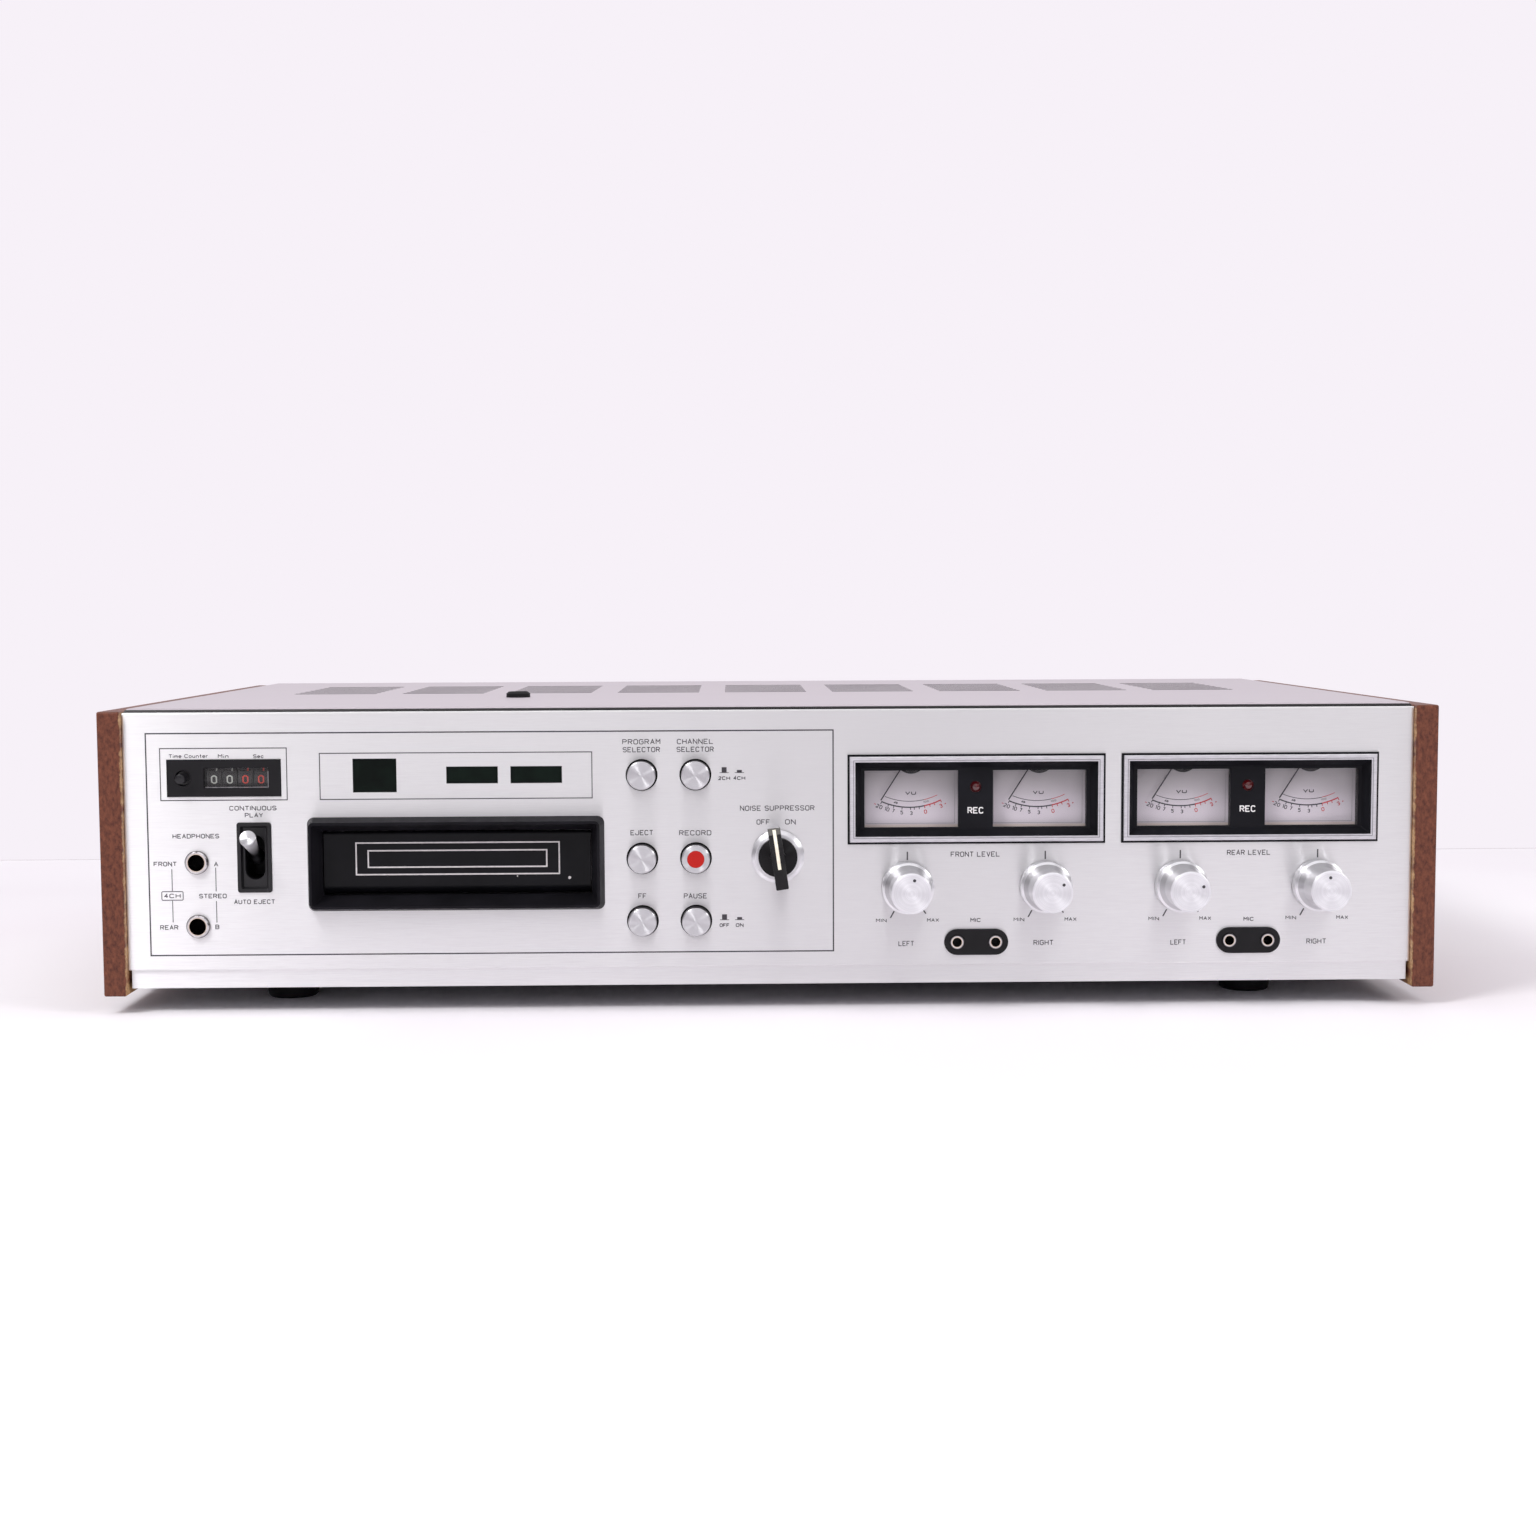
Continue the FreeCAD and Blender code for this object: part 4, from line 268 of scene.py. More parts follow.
def spun(name, color, centre, rough=0.4, face=None, shade_depths=None, wall=None):
    """Turned aluminium with grooves round a centre in XZ.

    The part in front of the depth called face is matt, and painted shade darkens the metal between the two
    depths given for it.
    wall is the tone of painted shade on the sides along the axis.
    """
    m = Paint(name, color, rough, 1.0, brushed=0.96)
    depth = m.split(m.where)["Y"]
    fine = grooves(m, nearest_offset(m, [centre]), depth, 0.6)
    tone = m.mottled(fine, shade(color, plus=-14), shade(color, plus=6))
    # painted shade: the metal darkens between two depths
    if shade_depths is not None:
        tone = m.mix(m.span(depth, *shade_depths), tone, (34, 34, 36))
    # painted shade on the sides along the axis
    if wall is not None:
        tone = m.mix(m.wall("Y"), tone, wall)
    m.color(tone)
    if face is not None:
        m.rough(m.span(m.less(depth, face), 0.0, 1.0, rough, 1.0))
    m.bump(fine, *FINE_BUMP)
    return m.mat


def nearest_offset(m, centres):
    """Vector in XZ from the nearest centre to the shaded point; centres share rows or columns."""
    place = m.split(m.where)

    def nearest(axis, values):
        first, *others = sorted(set(round(value, 6) for value in values))
        offset = m.minus(place[axis], first)
        for value in others:
            other = m.minus(place[axis], value)
            closer = m.less(m.size(other), m.size(offset))
            offset = m.node("Mix", {0: closer, 2: offset, 3: other}, data_type="FLOAT").outputs[0]
        return offset

    return m.join(nearest("X", (x for x, _ in centres)), 0.0, nearest("Z", (z for _, z in centres)))


def sheet_steel():
    """Zinc plate with a faint spangle."""
    m = Paint("zinc_steel", (170, 172, 174), 0.42, 1.0)
    spangle = m.node("TexVoronoi", {"Vector": m.where, "Scale": 260.0}).outputs["Color"]
    m.color(m.mix(m.split(spangle)["X"], (160, 162, 164), (175, 177, 179)))
    m.rough(m.uneven(m.noise(40.0), 0.36, 0.5))
    return m.mat


COVER_RIM, COVER_LIT = 3.0 * MM, 0.55 * MM   # rim without slots; part of the front bend left out of the painted shadow


def enamel():
    """Grey-mauve satin enamel of the cover, with painted shade on the walls of its slots and a painted shadow
    in the gap over the panel.
    """
    m = Paint("cover_enamel", (188, 179, 186), 0.42, gloss=0.4)
    place = m.split(m.where)
    cloud = m.noise(16.0, 3.0)
    low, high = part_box("top_cover")
    # painted shade on the walls of the slots
    slots = m.times(m.wall("Z"), m.less(low.y + COVER_RIM, place["Y"]), m.less(place["Y"], high.y - COVER_RIM),
                    m.less(m.size(place["X"]), high.x - COVER_RIM))
    # painted shadow in the gap between the cover's front bend and the panel
    gap = m.times(m.less(place["Y"], low.y + COVER_RIM), m.less(place["Z"], high.z - COVER_LIT))
    tone = m.mottled(cloud, (185, 176, 183), (190, 181, 188))
    m.color(m.mix(m.math("MAXIMUM", gap, slots), tone, (22, 20, 22)))
    m.rough(m.uneven(cloud, 0.38, 0.46))
    m.bump(m.noise(1400.0, 2.0), 0.1, 0.03 * MM)
    return m.mat


def walnut():
    """Oiled walnut veneer with grain along Y, and bare board where it shows at the front's inner edge."""
    m = Paint("walnut", (104, 58, 42), 0.5, gloss=0.3)
    wave = m.noise(1.0, 3.0, 0.5, (60, 5, 30))
    bent = m.vector("ADD", m.where, m.join(0.0, 0.0, m.times(wave, 0.012)))
    grain = m.noise(1.0, 6.0, 0.65, (700, 22, 420), bent)
    pores = m.noise(1.0, 3.0, 0.7, (2600, 60, 2200), bent)
    tone = m.mix(m.span(grain, 0.32, 0.68), (74, 38, 28), (126, 72, 52))
    tone = m.mix(m.span(pores, 0.56, 0.7, 0.0, 0.55), tone, (48, 26, 20))
    # the veneer stops short of the inner edge, where pale board shows
    ragged = m.span(m.noise(1.0, 3.0, 0.6, (200, 90, 260)), 0.35, 0.65, -0.25 * MM, 0.3 * MM)
    edge = m.minus(m.minus(m.size(m.split(m.where)["X"]), PANEL_HIGH.x + 0.2 * MM), ragged)
    raw = m.span(edge, -0.1 * MM, 0.25 * MM, 1.0, 0.0)
    board = m.mix(m.span(m.noise(900.0, 3.0), 0.35, 0.65), (150, 112, 76), (190, 152, 110))
    m.color(m.mix(raw, tone, board))
    m.rough(m.uneven(grain, 0.4, 0.58))
    m.bump(grain, 0.25, 0.12 * MM)
    return m.mat


def moulded(name, color, rough, grain=0.06, gloss=0.3):
    """Moulded plastic or rubber with a fine grain, slightly uneven in tone and gloss."""
    m = Paint(name, color, rough, gloss=gloss)
    m.color(m.mottled(m.noise(60.0, 3.0), shade(color, 0.85), shade(color, 1.18, 2)))
    m.rough(m.uneven(m.noise(220.0, 3.0), rough * 0.88, rough * 1.12))
    m.bump(m.noise(2600.0, 2.0), grain, 0.04 * MM)
    return m.mat


def glass():
    """Thin clear pane: mostly see-through, with a reflection that grows at a slant."""
    m = Paint("clear_pane", (255, 255, 255), 0.03)
    clear = m.node("BsdfTransparent", {"Color": (1.0, 1.0, 1.0, 1.0)})
    shine = m.node("BsdfGlossy", {"Roughness": m.uneven(m.noise(90.0, 3.0), 0.02, 0.06)})
    slant = m.node("Fresnel", {"IOR": 1.45}).outputs[0]
    # the far side of the pane doesn't reflect again
    outside = m.minus(1.0, m.node("NewGeometry").outputs["Backfacing"])
    m.surface(m.times(slant, outside), clear, shine)
    return m.mat


def smoked():
    """Dark green acrylic with a polished face."""
    m = Paint("status_acrylic", (12, 24, 18), 0.08, gloss=0.08)
    m.color(m.mottled(m.noise(120.0, 2.0), (6, 12, 9), (12, 24, 18)))
    m.rough(m.uneven(m.noise(400.0), 0.056, 0.12))
    return m.mat


def ink(name, color, rough=0.55):
    """Printed ink, slightly uneven in density."""
    m = Paint(name, color, rough)
    m.color(m.mix(m.span(m.noise(700.0, 3.0), 0.35, 0.65), color, shade(color, plus=14)))
    return m.mat


def machined(name, color, rough):
    """Turned or milled metal."""
    m = Paint(name, color, rough, 1.0)
    marks = m.noise(1.0, 3.0, stretch=(300, 300, 2600))
    m.color(m.mottled(marks, shade(color, 0.9), color))
    m.rough(m.uneven(marks, rough * 0.8, rough * 1.3))
    return m.mat


def phenolic():
    """Circuit board: tan laminate with a faint weave."""
    m = Paint("phenolic_board", (150, 118, 66), 0.55)
    weave = m.noise(1.0, 2.0, stretch=(900, 120, 50))
    m.color(m.mottled(weave, (136, 106, 58), (168, 134, 78)))
    return m.mat


SELECTOR_TURN = math.radians(8.0)            # to the left, where the pointer stands at OFF
GRIP_UP = (-math.sin(SELECTOR_TURN), 0.0, math.cos(SELECTOR_TURN))
SHEEN_FROM = 9.3              # painted sheen along the grip from here to its upper end
SELECTOR_RING_UP = 3.4       # the spun ring stands this far off the panel; the black parts stand further
SELECTOR_DISC_R = 7.45


def selector_finish():
    """Spun ring with a black moulded disc and grip standing in it; the grip's sloped end gets a painted sheen.
    """
    m = Paint("selector_knob", SILVER, 0.4, 1.0, gloss=0.3, brushed=0.96)
    depth = m.split(m.where)["Y"]
    offset = nearest_offset(m, [spot("selector_knob")])
    ring = m.mottled(grooves(m, offset, depth, 0.55), (236, 235, 238), (252, 251, 254))
    raised = m.less(depth, PANEL - SELECTOR_RING_UP * MM)
    black = m.math("MAXIMUM", raised, m.less(m.vector("LENGTH", offset), SELECTOR_DISC_R * MM))
    ahead = m.less(SHEEN_FROM * MM, m.vector("DOT_PRODUCT", offset, GRIP_UP))
    # painted sheen: the grip's sloped upper end faces the lamps overhead and is coloured grey
    slope_sheen = m.times(ahead, m.less(0.4, m.normal()["Z"]), raised)
    dark = m.mottled(m.noise(2200.0, 2.0), (14, 13, 15), (24, 22, 25))
    m.color(m.mix(black, ring, m.mix(slope_sheen, dark, (98, 96, 92))))
    m.metal(m.minus(1.0, black))
    m.rough(m.span(black, 0.0, 1.0, 0.4, 0.42))
    return m.mat


METER_WINDOW_X, METER_WINDOW_Z = (53.8, 103.2, 158.8, 208.2), 80.4   # middles of the windows
SCALE_HALF_Z = 10.95         # half the height of a scale plate


def meter_face():
    """Scale plate: lilac lower down, with painted shade greying it towards the top, under the mask, and warm
    along the bottom edge.
    """
    m = Paint("meter_face", (232, 226, 232), 0.6)
    height = m.split(m.where)["Z"]
    low, high = (METER_WINDOW_Z - SCALE_HALF_Z) * MM, (METER_WINDOW_Z + SCALE_HALF_Z) * MM
    # painted shade: the plate greys towards its top, which the mask shades
    rise = m.math("ADD", height, m.times(m.noise(45.0, 2.0), 0.006))
    tone = m.mix(m.span(rise, low + 4.0 * MM, high + 2.0 * MM, smooth=True), (229, 220, 229), (176, 171, 174))
    edge = m.span(height, low + 0.1 * MM, low + 1.0 * MM, 0.5, 0.0, smooth=True)
    m.color(m.mix(edge, tone, (240, 216, 192)))
    m.bump(m.noise(3000.0, 2.0), 0.05, 0.02 * MM)
    return m.mat


def digit_wheel():
    """Black counter wheel, slightly worn."""
    m = Paint("digit_wheel", (26, 26, 28))
    wear = m.noise(300.0, 3.0)
    m.color(m.mottled(wear, (34, 33, 34), (42, 40, 40)))
    m.rough(m.uneven(wear, 0.42, 0.6))
    return m.mat


def jewel():
    """Dark red polished lamp lens."""
    m = Paint("lamp_jewel", (60, 5, 9), 0.05, gloss=1.0)
    m.color(m.mix(m.span(m.noise(500.0, 2.0), 0.35, 0.65), (52, 3, 7), (84, 7, 11)))
    return m.mat


# node, places of its jacks in X and Z, radii of bore and rim
JACKS = (("phone_jacks", ((-219.1, 58.0), (-219.1, 33.5)), 3.2, 4.5),
         ("mic_jacks", ((71.1, 25.4), (85.9, 25.4), (176.1, 25.4), (190.9, 25.4)), 1.8, 2.6))
SOCKET_LIT = 0.9             # the socket is bright only this far in front of the panel


def jack_finish(name, spots, bore, rim):
    """Chromed ring between the radii bore and rim, warmer at its inner edge, round a black socket."""
    m = Paint(name, (226, 222, 222), 0.16, 1.0)
    radius = m.vector("LENGTH", nearest_offset(m, [(x * MM, z * MM) for x, z in spots]))
    scuff = m.noise(800.0, 3.0)
    tone = m.mottled(scuff, (186, 182, 184), (216, 213, 214))
    warm = m.span(radius, (bore + 0.1) * MM, (bore + 0.4) * MM, 0.6, 0.0)
    outer = m.span(radius, (rim - 0.3) * MM, (rim - 0.15) * MM, 0.0, 0.85)
    tone = m.mix(outer, m.mix(warm, tone, (220, 194, 160)), (70, 66, 68))
    inner = m.times(m.less(radius, (bore + 0.05) * MM), m.less(PANEL - SOCKET_LIT * MM, m.split(m.where)["Y"]))
    m.color(m.mix(inner, tone, (8, 8, 9)))
    m.metal(m.minus(1.0, inner))
    m.rough(m.uneven(scuff, 0.13, 0.22))
    return m.mat


def red_disc():
    """Red insert of the record button, finely turned."""
    m = Paint("record_red", (186, 24, 18), 0.4, gloss=0.25)
    radius = m.vector("LENGTH", nearest_offset(m, [spot("record_insert")]))
    rings = m.noise(1.0, 2.0, stretch=(5200, 1, 1), where=m.join(radius, 0.0, 0.0))
    m.color(m.mottled(rings, (174, 18, 14), (198, 32, 22)))
    m.bump(rings, 0.2, 0.03 * MM)
    return m.mat


def dress(material, *nodes):
    """Gives every slot of some CAD nodes one material."""
    for node in nodes:
        data = NODES[node].data
        if not data.materials:
            data.materials.append(material)
        for number in range(len(data.materials)):
            data.materials[number] = material


BUTTONS = [name + "_button" for name in ("program", "channel", "eject", "record", "fast_forward", "pause")]
CHANNELS = ("front_left", "front_right", "rear_left", "rear_right")
KNOBS = [channel + "_level_knob" for channel in CHANNELS]
NEEDLES = [channel + "_needle" for channel in CHANNELS]
WHEELS = [name + "_wheel" for name in ("minute_tens", "minute_units", "second_tens", "second_units")]
KNOB_FACE = 0.4 * MM         # depth of a level knob's matt face


def dress_everything():
    """Every CAD node that isn't replaced gets its finish."""
    dress(brushed_panel(), "front_panel")
    dress(sheet_steel(), "chassis", "cartridge_bay", "deck_plate", "case_screws", "rear_panel")
    dress(enamel(), "top_cover")
    dress(walnut(), "left_cheek", "right_cheek")
    dress(moulded("black_rubber", (20, 19, 21), 0.6, 0.1, 0.2), "rubber_feet", "cover_plug", "drive_belt")
    dress(moulded("bezel_plastic", (22, 21, 25), 0.42, 0.12, 0.08), "cartridge_bezel")
    dress(moulded("black_plastic", (17, 16, 19), 0.42, 0.12, 0.25),
          "counter_housing", "meter_cases", "cord_gland", "panel_switches", "rear_jacks", "mic_plates")
    dress(moulded("door_plastic", (13, 13, 17), 0.36, 0.06, 0.16), "cartridge_door")
    dress(moulded("mask_plastic", (21, 21, 25), 0.4, 0.08, 0.1), "meter_masks")
    dress(glass(), "counter_window", "meter_windows")
    dress(smoked(), "status_windows")
    # the sides of buttons and knobs get painted shade, much darker on the buttons
    for node in BUTTONS:
        dress(spun(node, BUTTON_SILVER, spot(node), wall=(66, 63, 66)), node)
    for node in KNOBS:
        dress(spun(node, SILVER, spot(node), 0.36, front(node) + KNOB_FACE, wall=(204, 203, 206)), node)
    dress(selector_finish(), "selector_knob")
    for jack in JACKS:
        dress(jack_finish(*jack), jack[0])
    dress(machined("meter_bezels", (222, 220, 225), 0.45), "meter_bezels")
    dress(red_disc(), "record_insert")
    dress(jewel(), "record_lamps")
    dress(meter_face(), "meter_scales")
    dress(machined("level_pots", (120, 120, 122), 0.4), "level_pots")
    dress(moulded("needle_plastic", (34, 26, 34), 0.45), *NEEDLES)
    dress(digit_wheel(), *WHEELS)
    dress(machined("machined_steel", (186, 186, 188), 0.28),
          "flywheel", "motor_and_solenoid", "program_cam", "head_carriage", "transformer")
    dress(machined("brass", (214, 176, 96), 0.25), "motor_pulley")
    dress(phenolic(), "circuit_board")


# ---- printing and thin trim, built as closed meshes ----
MITRE_LEAST = 0.3            # keeps the mitre of a sharp corner short
BEND_STEP = 0.35             # longest step of a stroke on a bent surface
CAP_UNITS = 6
FRAME_STEPS, CORNER_STEPS, ARC_STEPS, ROUND_SIDES = 4, 6, 24, 48
SHARP = math.radians(30)


class Print:
    """Collects thin closed shapes on one plane and makes one object of them.

    A point (u, v) in millimetres lies at origin + u * right + v * up; out is the way the ink stands.
    """

    def __init__(self, origin, right=(1, 0, 0), up=(0, 0, 1), bend=None):
        self.right, self.up = Vector(right).normalized(), Vector(up).normalized()
        self.out = self.right.cross(self.up)
        self.origin, self.bend = Vector(origin), bend
        self.mesh = bmesh.new()

    def vert(self, u, v, height):
        """A vertex a height above the ink's foot, over the plane or the bent surface."""
        u, v, height = u * MM, v * MM, height + INK_LIFT
        if self.bend:
            return self.mesh.verts.new(self.bend(u, v, height))
        return self.mesh.verts.new(self.origin + self.right * u + self.up * v + self.out * height)

    def plate(self, outline):
        """A flat plate of one convex outline."""
        low, high = ([self.vert(u, v, height) for u, v in outline] for height in (0.0, INK_T))
        self.mesh.faces.new(high)
        self.mesh.faces.new(low[::-1])
        for k in range(len(outline)):
            j = (k + 1) % len(outline)
            self.mesh.faces.new((low[k], low[j], high[j], high[k]))

    def line(self, points, width, closed=False):
        """A ruled line of constant width along points, with mitred corners and square ends."""
        spots = [Vector(p) for p in points]
        count = len(spots)
        rings = []
        for k in range(count):
            ways = []
            if closed or k:
                ways.append(spots[k] - spots[k - 1])
            if closed or k < count - 1:
                ways.append(spots[(k + 1) % count] - spots[k])
            normals = [Vector((-w.y, w.x)).normalized() for w in ways]
            mitre = sum(normals, Vector((0, 0))).normalized()
            mitre *= width / 2 / max(MITRE_LEAST, mitre.dot(normals[0]))
            left, right = spots[k] + mitre, spots[k] - mitre
            rings.append([self.vert(p.x, p.y, height) for p, height in (
                (left, 0.0), (right, 0.0), (right, INK_T), (left, INK_T))])
        for k in range(count if closed else count - 1):
            a, b = rings[k], rings[(k + 1) % count]
            for j in range(4):
                self.mesh.faces.new((a[j], b[j], b[(j + 1) % 4], a[(j + 1) % 4]))
        if not closed:
            self.mesh.faces.new(rings[0])
            self.mesh.faces.new(rings[-1][::-1])

    def frame(self, x0, x1, z0, z1, width, radius=0.0):
        """A ruled rectangle, with rounded corners where a radius is given."""
        corners = [(x1, z1, 0), (x0, z1, 90), (x0, z0, 180), (x1, z0, 270)]
        if not radius:
            self.line([(x, z) for x, z, _ in corners], width, closed=True)
            return
        points = []
        for x, z, start in corners:
            cx = x - math.copysign(radius, x - (x0 + x1) / 2)
            cz = z - math.copysign(radius, z - (z0 + z1) / 2)
            points += [polar(cx, cz, radius, start + 90 * k / FRAME_STEPS) for k in range(FRAME_STEPS + 1)]
        self.line(points, width, closed=True)

    def dot(self, u, v, radius, sides=16):
        self.plate([polar(u, v, radius, 360 * k / sides) for k in range(sides)])

    def arc(self, u, v, radius, start, end, width):
        turns = [start + (end - start) * k / ARC_STEPS for k in range(ARC_STEPS + 1)]
        self.line([polar(u, v, radius, turn) for turn in turns], width)

    def words(self, text, u, v, width, height, stroke):
        """Lettering of a width and cap height whose middle stands at (u, v)."""
        rows, units = strokes(text)
        up = (height - stroke) / CAP_UNITS
        over = (width - stroke) / units
        for points, closed in rows:
            spots = [(u + (x - units / 2) * over, v + (y - CAP_UNITS / 2) * up) for x, y in points]
            self.line(divided(spots, closed) if self.bend else spots, stroke, closed)

    def make(self, name, material, body="chassis", slot="black_plastic"):
        """Turns the collected shapes into one piece that rides on a body."""
        bmesh.ops.recalc_face_normals(self.mesh, faces=self.mesh.faces)
        piece(name, self.mesh, material, body)


def upright(y=PANEL):
    """A print over the XZ plane at a depth."""
    return Print((0.0, y, 0.0))


def polar(u, v, radius, degrees):
    angle = math.radians(degrees)
    return u + radius * math.cos(angle), v + radius * math.sin(angle)


def put(name, data):
    """A new object in the scene."""
    made = bpy.data.objects.new(name, data)
    bpy.context.scene.collection.objects.link(made)
    return made


def piece(name, mesh, material, body, smooth=False):
    """Makes an object of a bmesh and lets it ride on a body."""
    data = bpy.data.meshes.new(name)
    mesh.to_mesh(data)
    mesh.free()
    data.materials.append(material)
    for face in data.polygons:
        face.use_smooth = smooth
    made = put(name, data)
    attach(made, body)
    return made


LETTER_GAP, SPACE = 1.8, 3.2
# strokes of the deck's wide, squarish lettering: points "xy" on a grid CAP_UNITS high, "/" between strokes
GLYPHS = {
    "A": "00 26 40/12 32", "B": "00 06 36 45 44 33 42 41 30 00/03 33",
    "C": "45 36 16 05 01 10 30 41", "D": "00 06 36 45 41 30 00", "E": "46 06 00 40/03 33",
    "F": "46 06 00/03 33", "G": "45 36 16 05 01 10 30 41 43 23", "H": "00 06/40 46/03 43", "I": "00 06",
    "J": "46 41 30 10 01 02", "L": "06 00 40", "M": "00 06 23 46 40",
    "N": "00 06 40 46", "O": "10 01 05 16 36 45 41 30 10", "P": "00 06 36 45 44 33 03",
    "R": "00 06 36 45 44 33 03/23 40", "S": "45 36 16 05 04 13 33 42 41 30 10 01", "T": "06 46/20 26",
    "U": "06 01 10 30 41 46", "V": "06 20 46", "X": "00 46/06 40", "Y": "06 23 46/20 23",
    "0": "10 01 05 16 26 35 31 20 10", "1": "05 16 10", "2": "05 16 26 35 34 00 30",
    "3": "05 16 26 35 34 23 32 31 20 10 01/13 23", "4": "20 26 02 32", "5": "36 06 04 24 33 31 20 10 01",
    "6": "35 26 16 05 01 10 20 31 32 23 03", "7": "06 36 10",
    "8": "10 01 02 13 04 05 16 26 35 34 23 32 31 20 10/13 23", "9": "01 10 20 31 35 26 16 05 04 13 33",
    "c": "33 24 14 03 01 10 20 31", "e": "02 32 33 24 14 03 01 10 30", "i": "00 03/05 06",
    "m": "00 04/03 14 23 20/23 34 43 40", "n": "00 04/03 14 24 33 30", "o": "10 01 03 14 24 33 31 20 10",
    "r": "00 04/03 14 24", "t": "16 11 20/04 24", "u": "04 01 10 20 31/30 34", "+": "03 43/21 25",
    "-": "03 33",
}


def strokes(text):
    """Strokes of a text on the glyph grid, each with whether it closes, and the text's width."""
    rows, start = [], 0.0
    for letter in text:
        if letter == " ":
            start += SPACE
            continue
        glyph = [[(int(x), int(y)) for x, y in stroke.split()] for stroke in GLYPHS[letter].split("/")]
        for points in glyph:
            closed = points[0] == points[-1]
            rows.append(([(start + x, y) for x, y in (points[:-1] if closed else points)], closed))
        start += max(x for points in glyph for x, _ in points) + LETTER_GAP
    return rows, start - LETTER_GAP


def divided(points, closed):
    """The same stroke with points no further apart than BEND_STEP, to follow a bent surface."""
    dense = []
    for a, b in zip(points, points[1:] + points[:1] if closed else points[1:]):
        count = max(1, math.ceil(math.dist(a, b) / BEND_STEP))
        dense += [(a[0] + (b[0] - a[0]) * k / count, a[1] + (b[1] - a[1]) * k / count) for k in range(count)]
    return dense if closed else dense + [points[-1]]


def rings_piece(name, rings, material, body, capped):
    """A closed skin through rings of as many points; capped at both ends, or joined end to start."""
    mesh = bmesh.new()
    rows = [[mesh.verts.new(point) for point in ring] for ring in rings]
    for a, b in zip(rows, rows[1:] if capped else rows[1:] + rows[:1]):
        for k in range(len(a)):
            j = (k + 1) % len(a)
            mesh.faces.new((a[k], a[j], b[j], b[k]))
    if capped:
        mesh.faces.new(rows[0])
        mesh.faces.new(rows[-1][::-1])
    bmesh.ops.recalc_face_normals(mesh, faces=mesh.faces)
    made = piece(name, mesh, material, body, smooth=True)
    made.data.set_sharp_from_angle(angle=SHARP)
    return made


def circle_ring(centre, axis, radius):
    """Points round a unit axis that lies in the YZ plane."""
    side = Vector((1.0, 0.0, 0.0))
    other = Vector(axis).cross(side)
    turns = [2 * math.pi * k / ROUND_SIDES for k in range(ROUND_SIDES)]
    return [Vector(centre) + (side * math.cos(turn) + other * math.sin(turn)) * radius for turn in turns]


def rounded_ring(x, z, y, width, height, radius):
    """Points of a rounded rectangle at a depth, all in metres."""
    points = []
    for sx, sz, start in ((1, 1, 0), (-1, 1, 90), (-1, -1, 180), (1, -1, 270)):
        cx, cz = x + sx * (width / 2 - radius), z + sz * (height / 2 - radius)
        for step in range(CORNER_STEPS + 1):
            u, v = polar(cx, cz, radius, start + 90.0 * step / CORNER_STEPS)
            points.append(Vector((u, y, v)))
    return points


# ---- inks ----
DARK_INK = ink("legend_ink", (50, 46, 52))
RULE_INK = ink("rule_ink", (48, 44, 50))
WHITE_INK = ink("white_ink", (236, 234, 234))
SILVER_INK = ink("door_rule_ink", (212, 207, 207), 0.45)
CREAM_INK = ink("cream_ink", (246, 236, 216))
SCALE_INK = ink("scale_ink", (34, 30, 40))
# pale grey ink for the small mark on the scales, also used for painted shadow and painted highlight lines
PALE_PRINT_AND_PAINTED_LIGHT = ink("pale_print_and_painted_light_ink", (150, 146, 150))
STEP_SHADOW_INK = ink("step_shadow", (104, 102, 108))
SCALE_RED = ink("scale_red", (186, 40, 46))
DIGIT_WHITE = ink("digit_white", (176, 180, 172))
DIGIT_RED = ink("digit_red", (196, 60, 44))


# ---- lever, its escutcheon and the counter's reset button ----
LEVER_X, LEVER_Z, LEVER_PIVOT = -197.2, 59.8, 5.0    # pivot, behind the panel's face
LEVER_TILT = 28.0
LEVER_SHADE = (1.8, 11.0)     # painted shade darkens its metal between these distances behind the tip
# (radius, distance from the pivot)
LEVER_PROFILE = ((1.9, -2.3), (2.6, -1.5), (3.0, 0.0), (2.7, 1.3), (2.2, 2.2), (1.75, 3.2), (2.0, 7.0),
                 (2.95, 16.9), (3.1, 17.5), (3.1, 18.35), (2.85, 18.65), (2.7, 18.7))
# rings from the back of the tube, over the rim, down the bevel and back through the slot:
# (width, height, corner radius, Y behind the panel's face; None is the tube's end)
ESCUTCHEON = ((10.7, 24.5, 0.5, None), (10.7, 24.5, 0.5, 0.0), (13.1, 26.9, 1.0, 0.0), (13.1, 26.9, 1.0, -0.4),
              (12.8, 26.6, 0.85, -0.6), (10.3, 24.1, 0.6, -0.6), (8.9, 22.7, 0.4, 0.9), (7.6, 17.2, 3.75, 0.9),
              (7.4, 17.0, 3.7, 1.1), (7.4, 17.0, 3.7, None))
RESET_SPOT = (-223.65, 90.25)
# (radius, reach in front of the panel's face; None is the stem's end)
RESET_PROFILE = ((2.6, None), (2.6, -0.9), (1.85, -0.9), (1.95, 4.2), (1.8, 4.65), (1.5, 4.8))


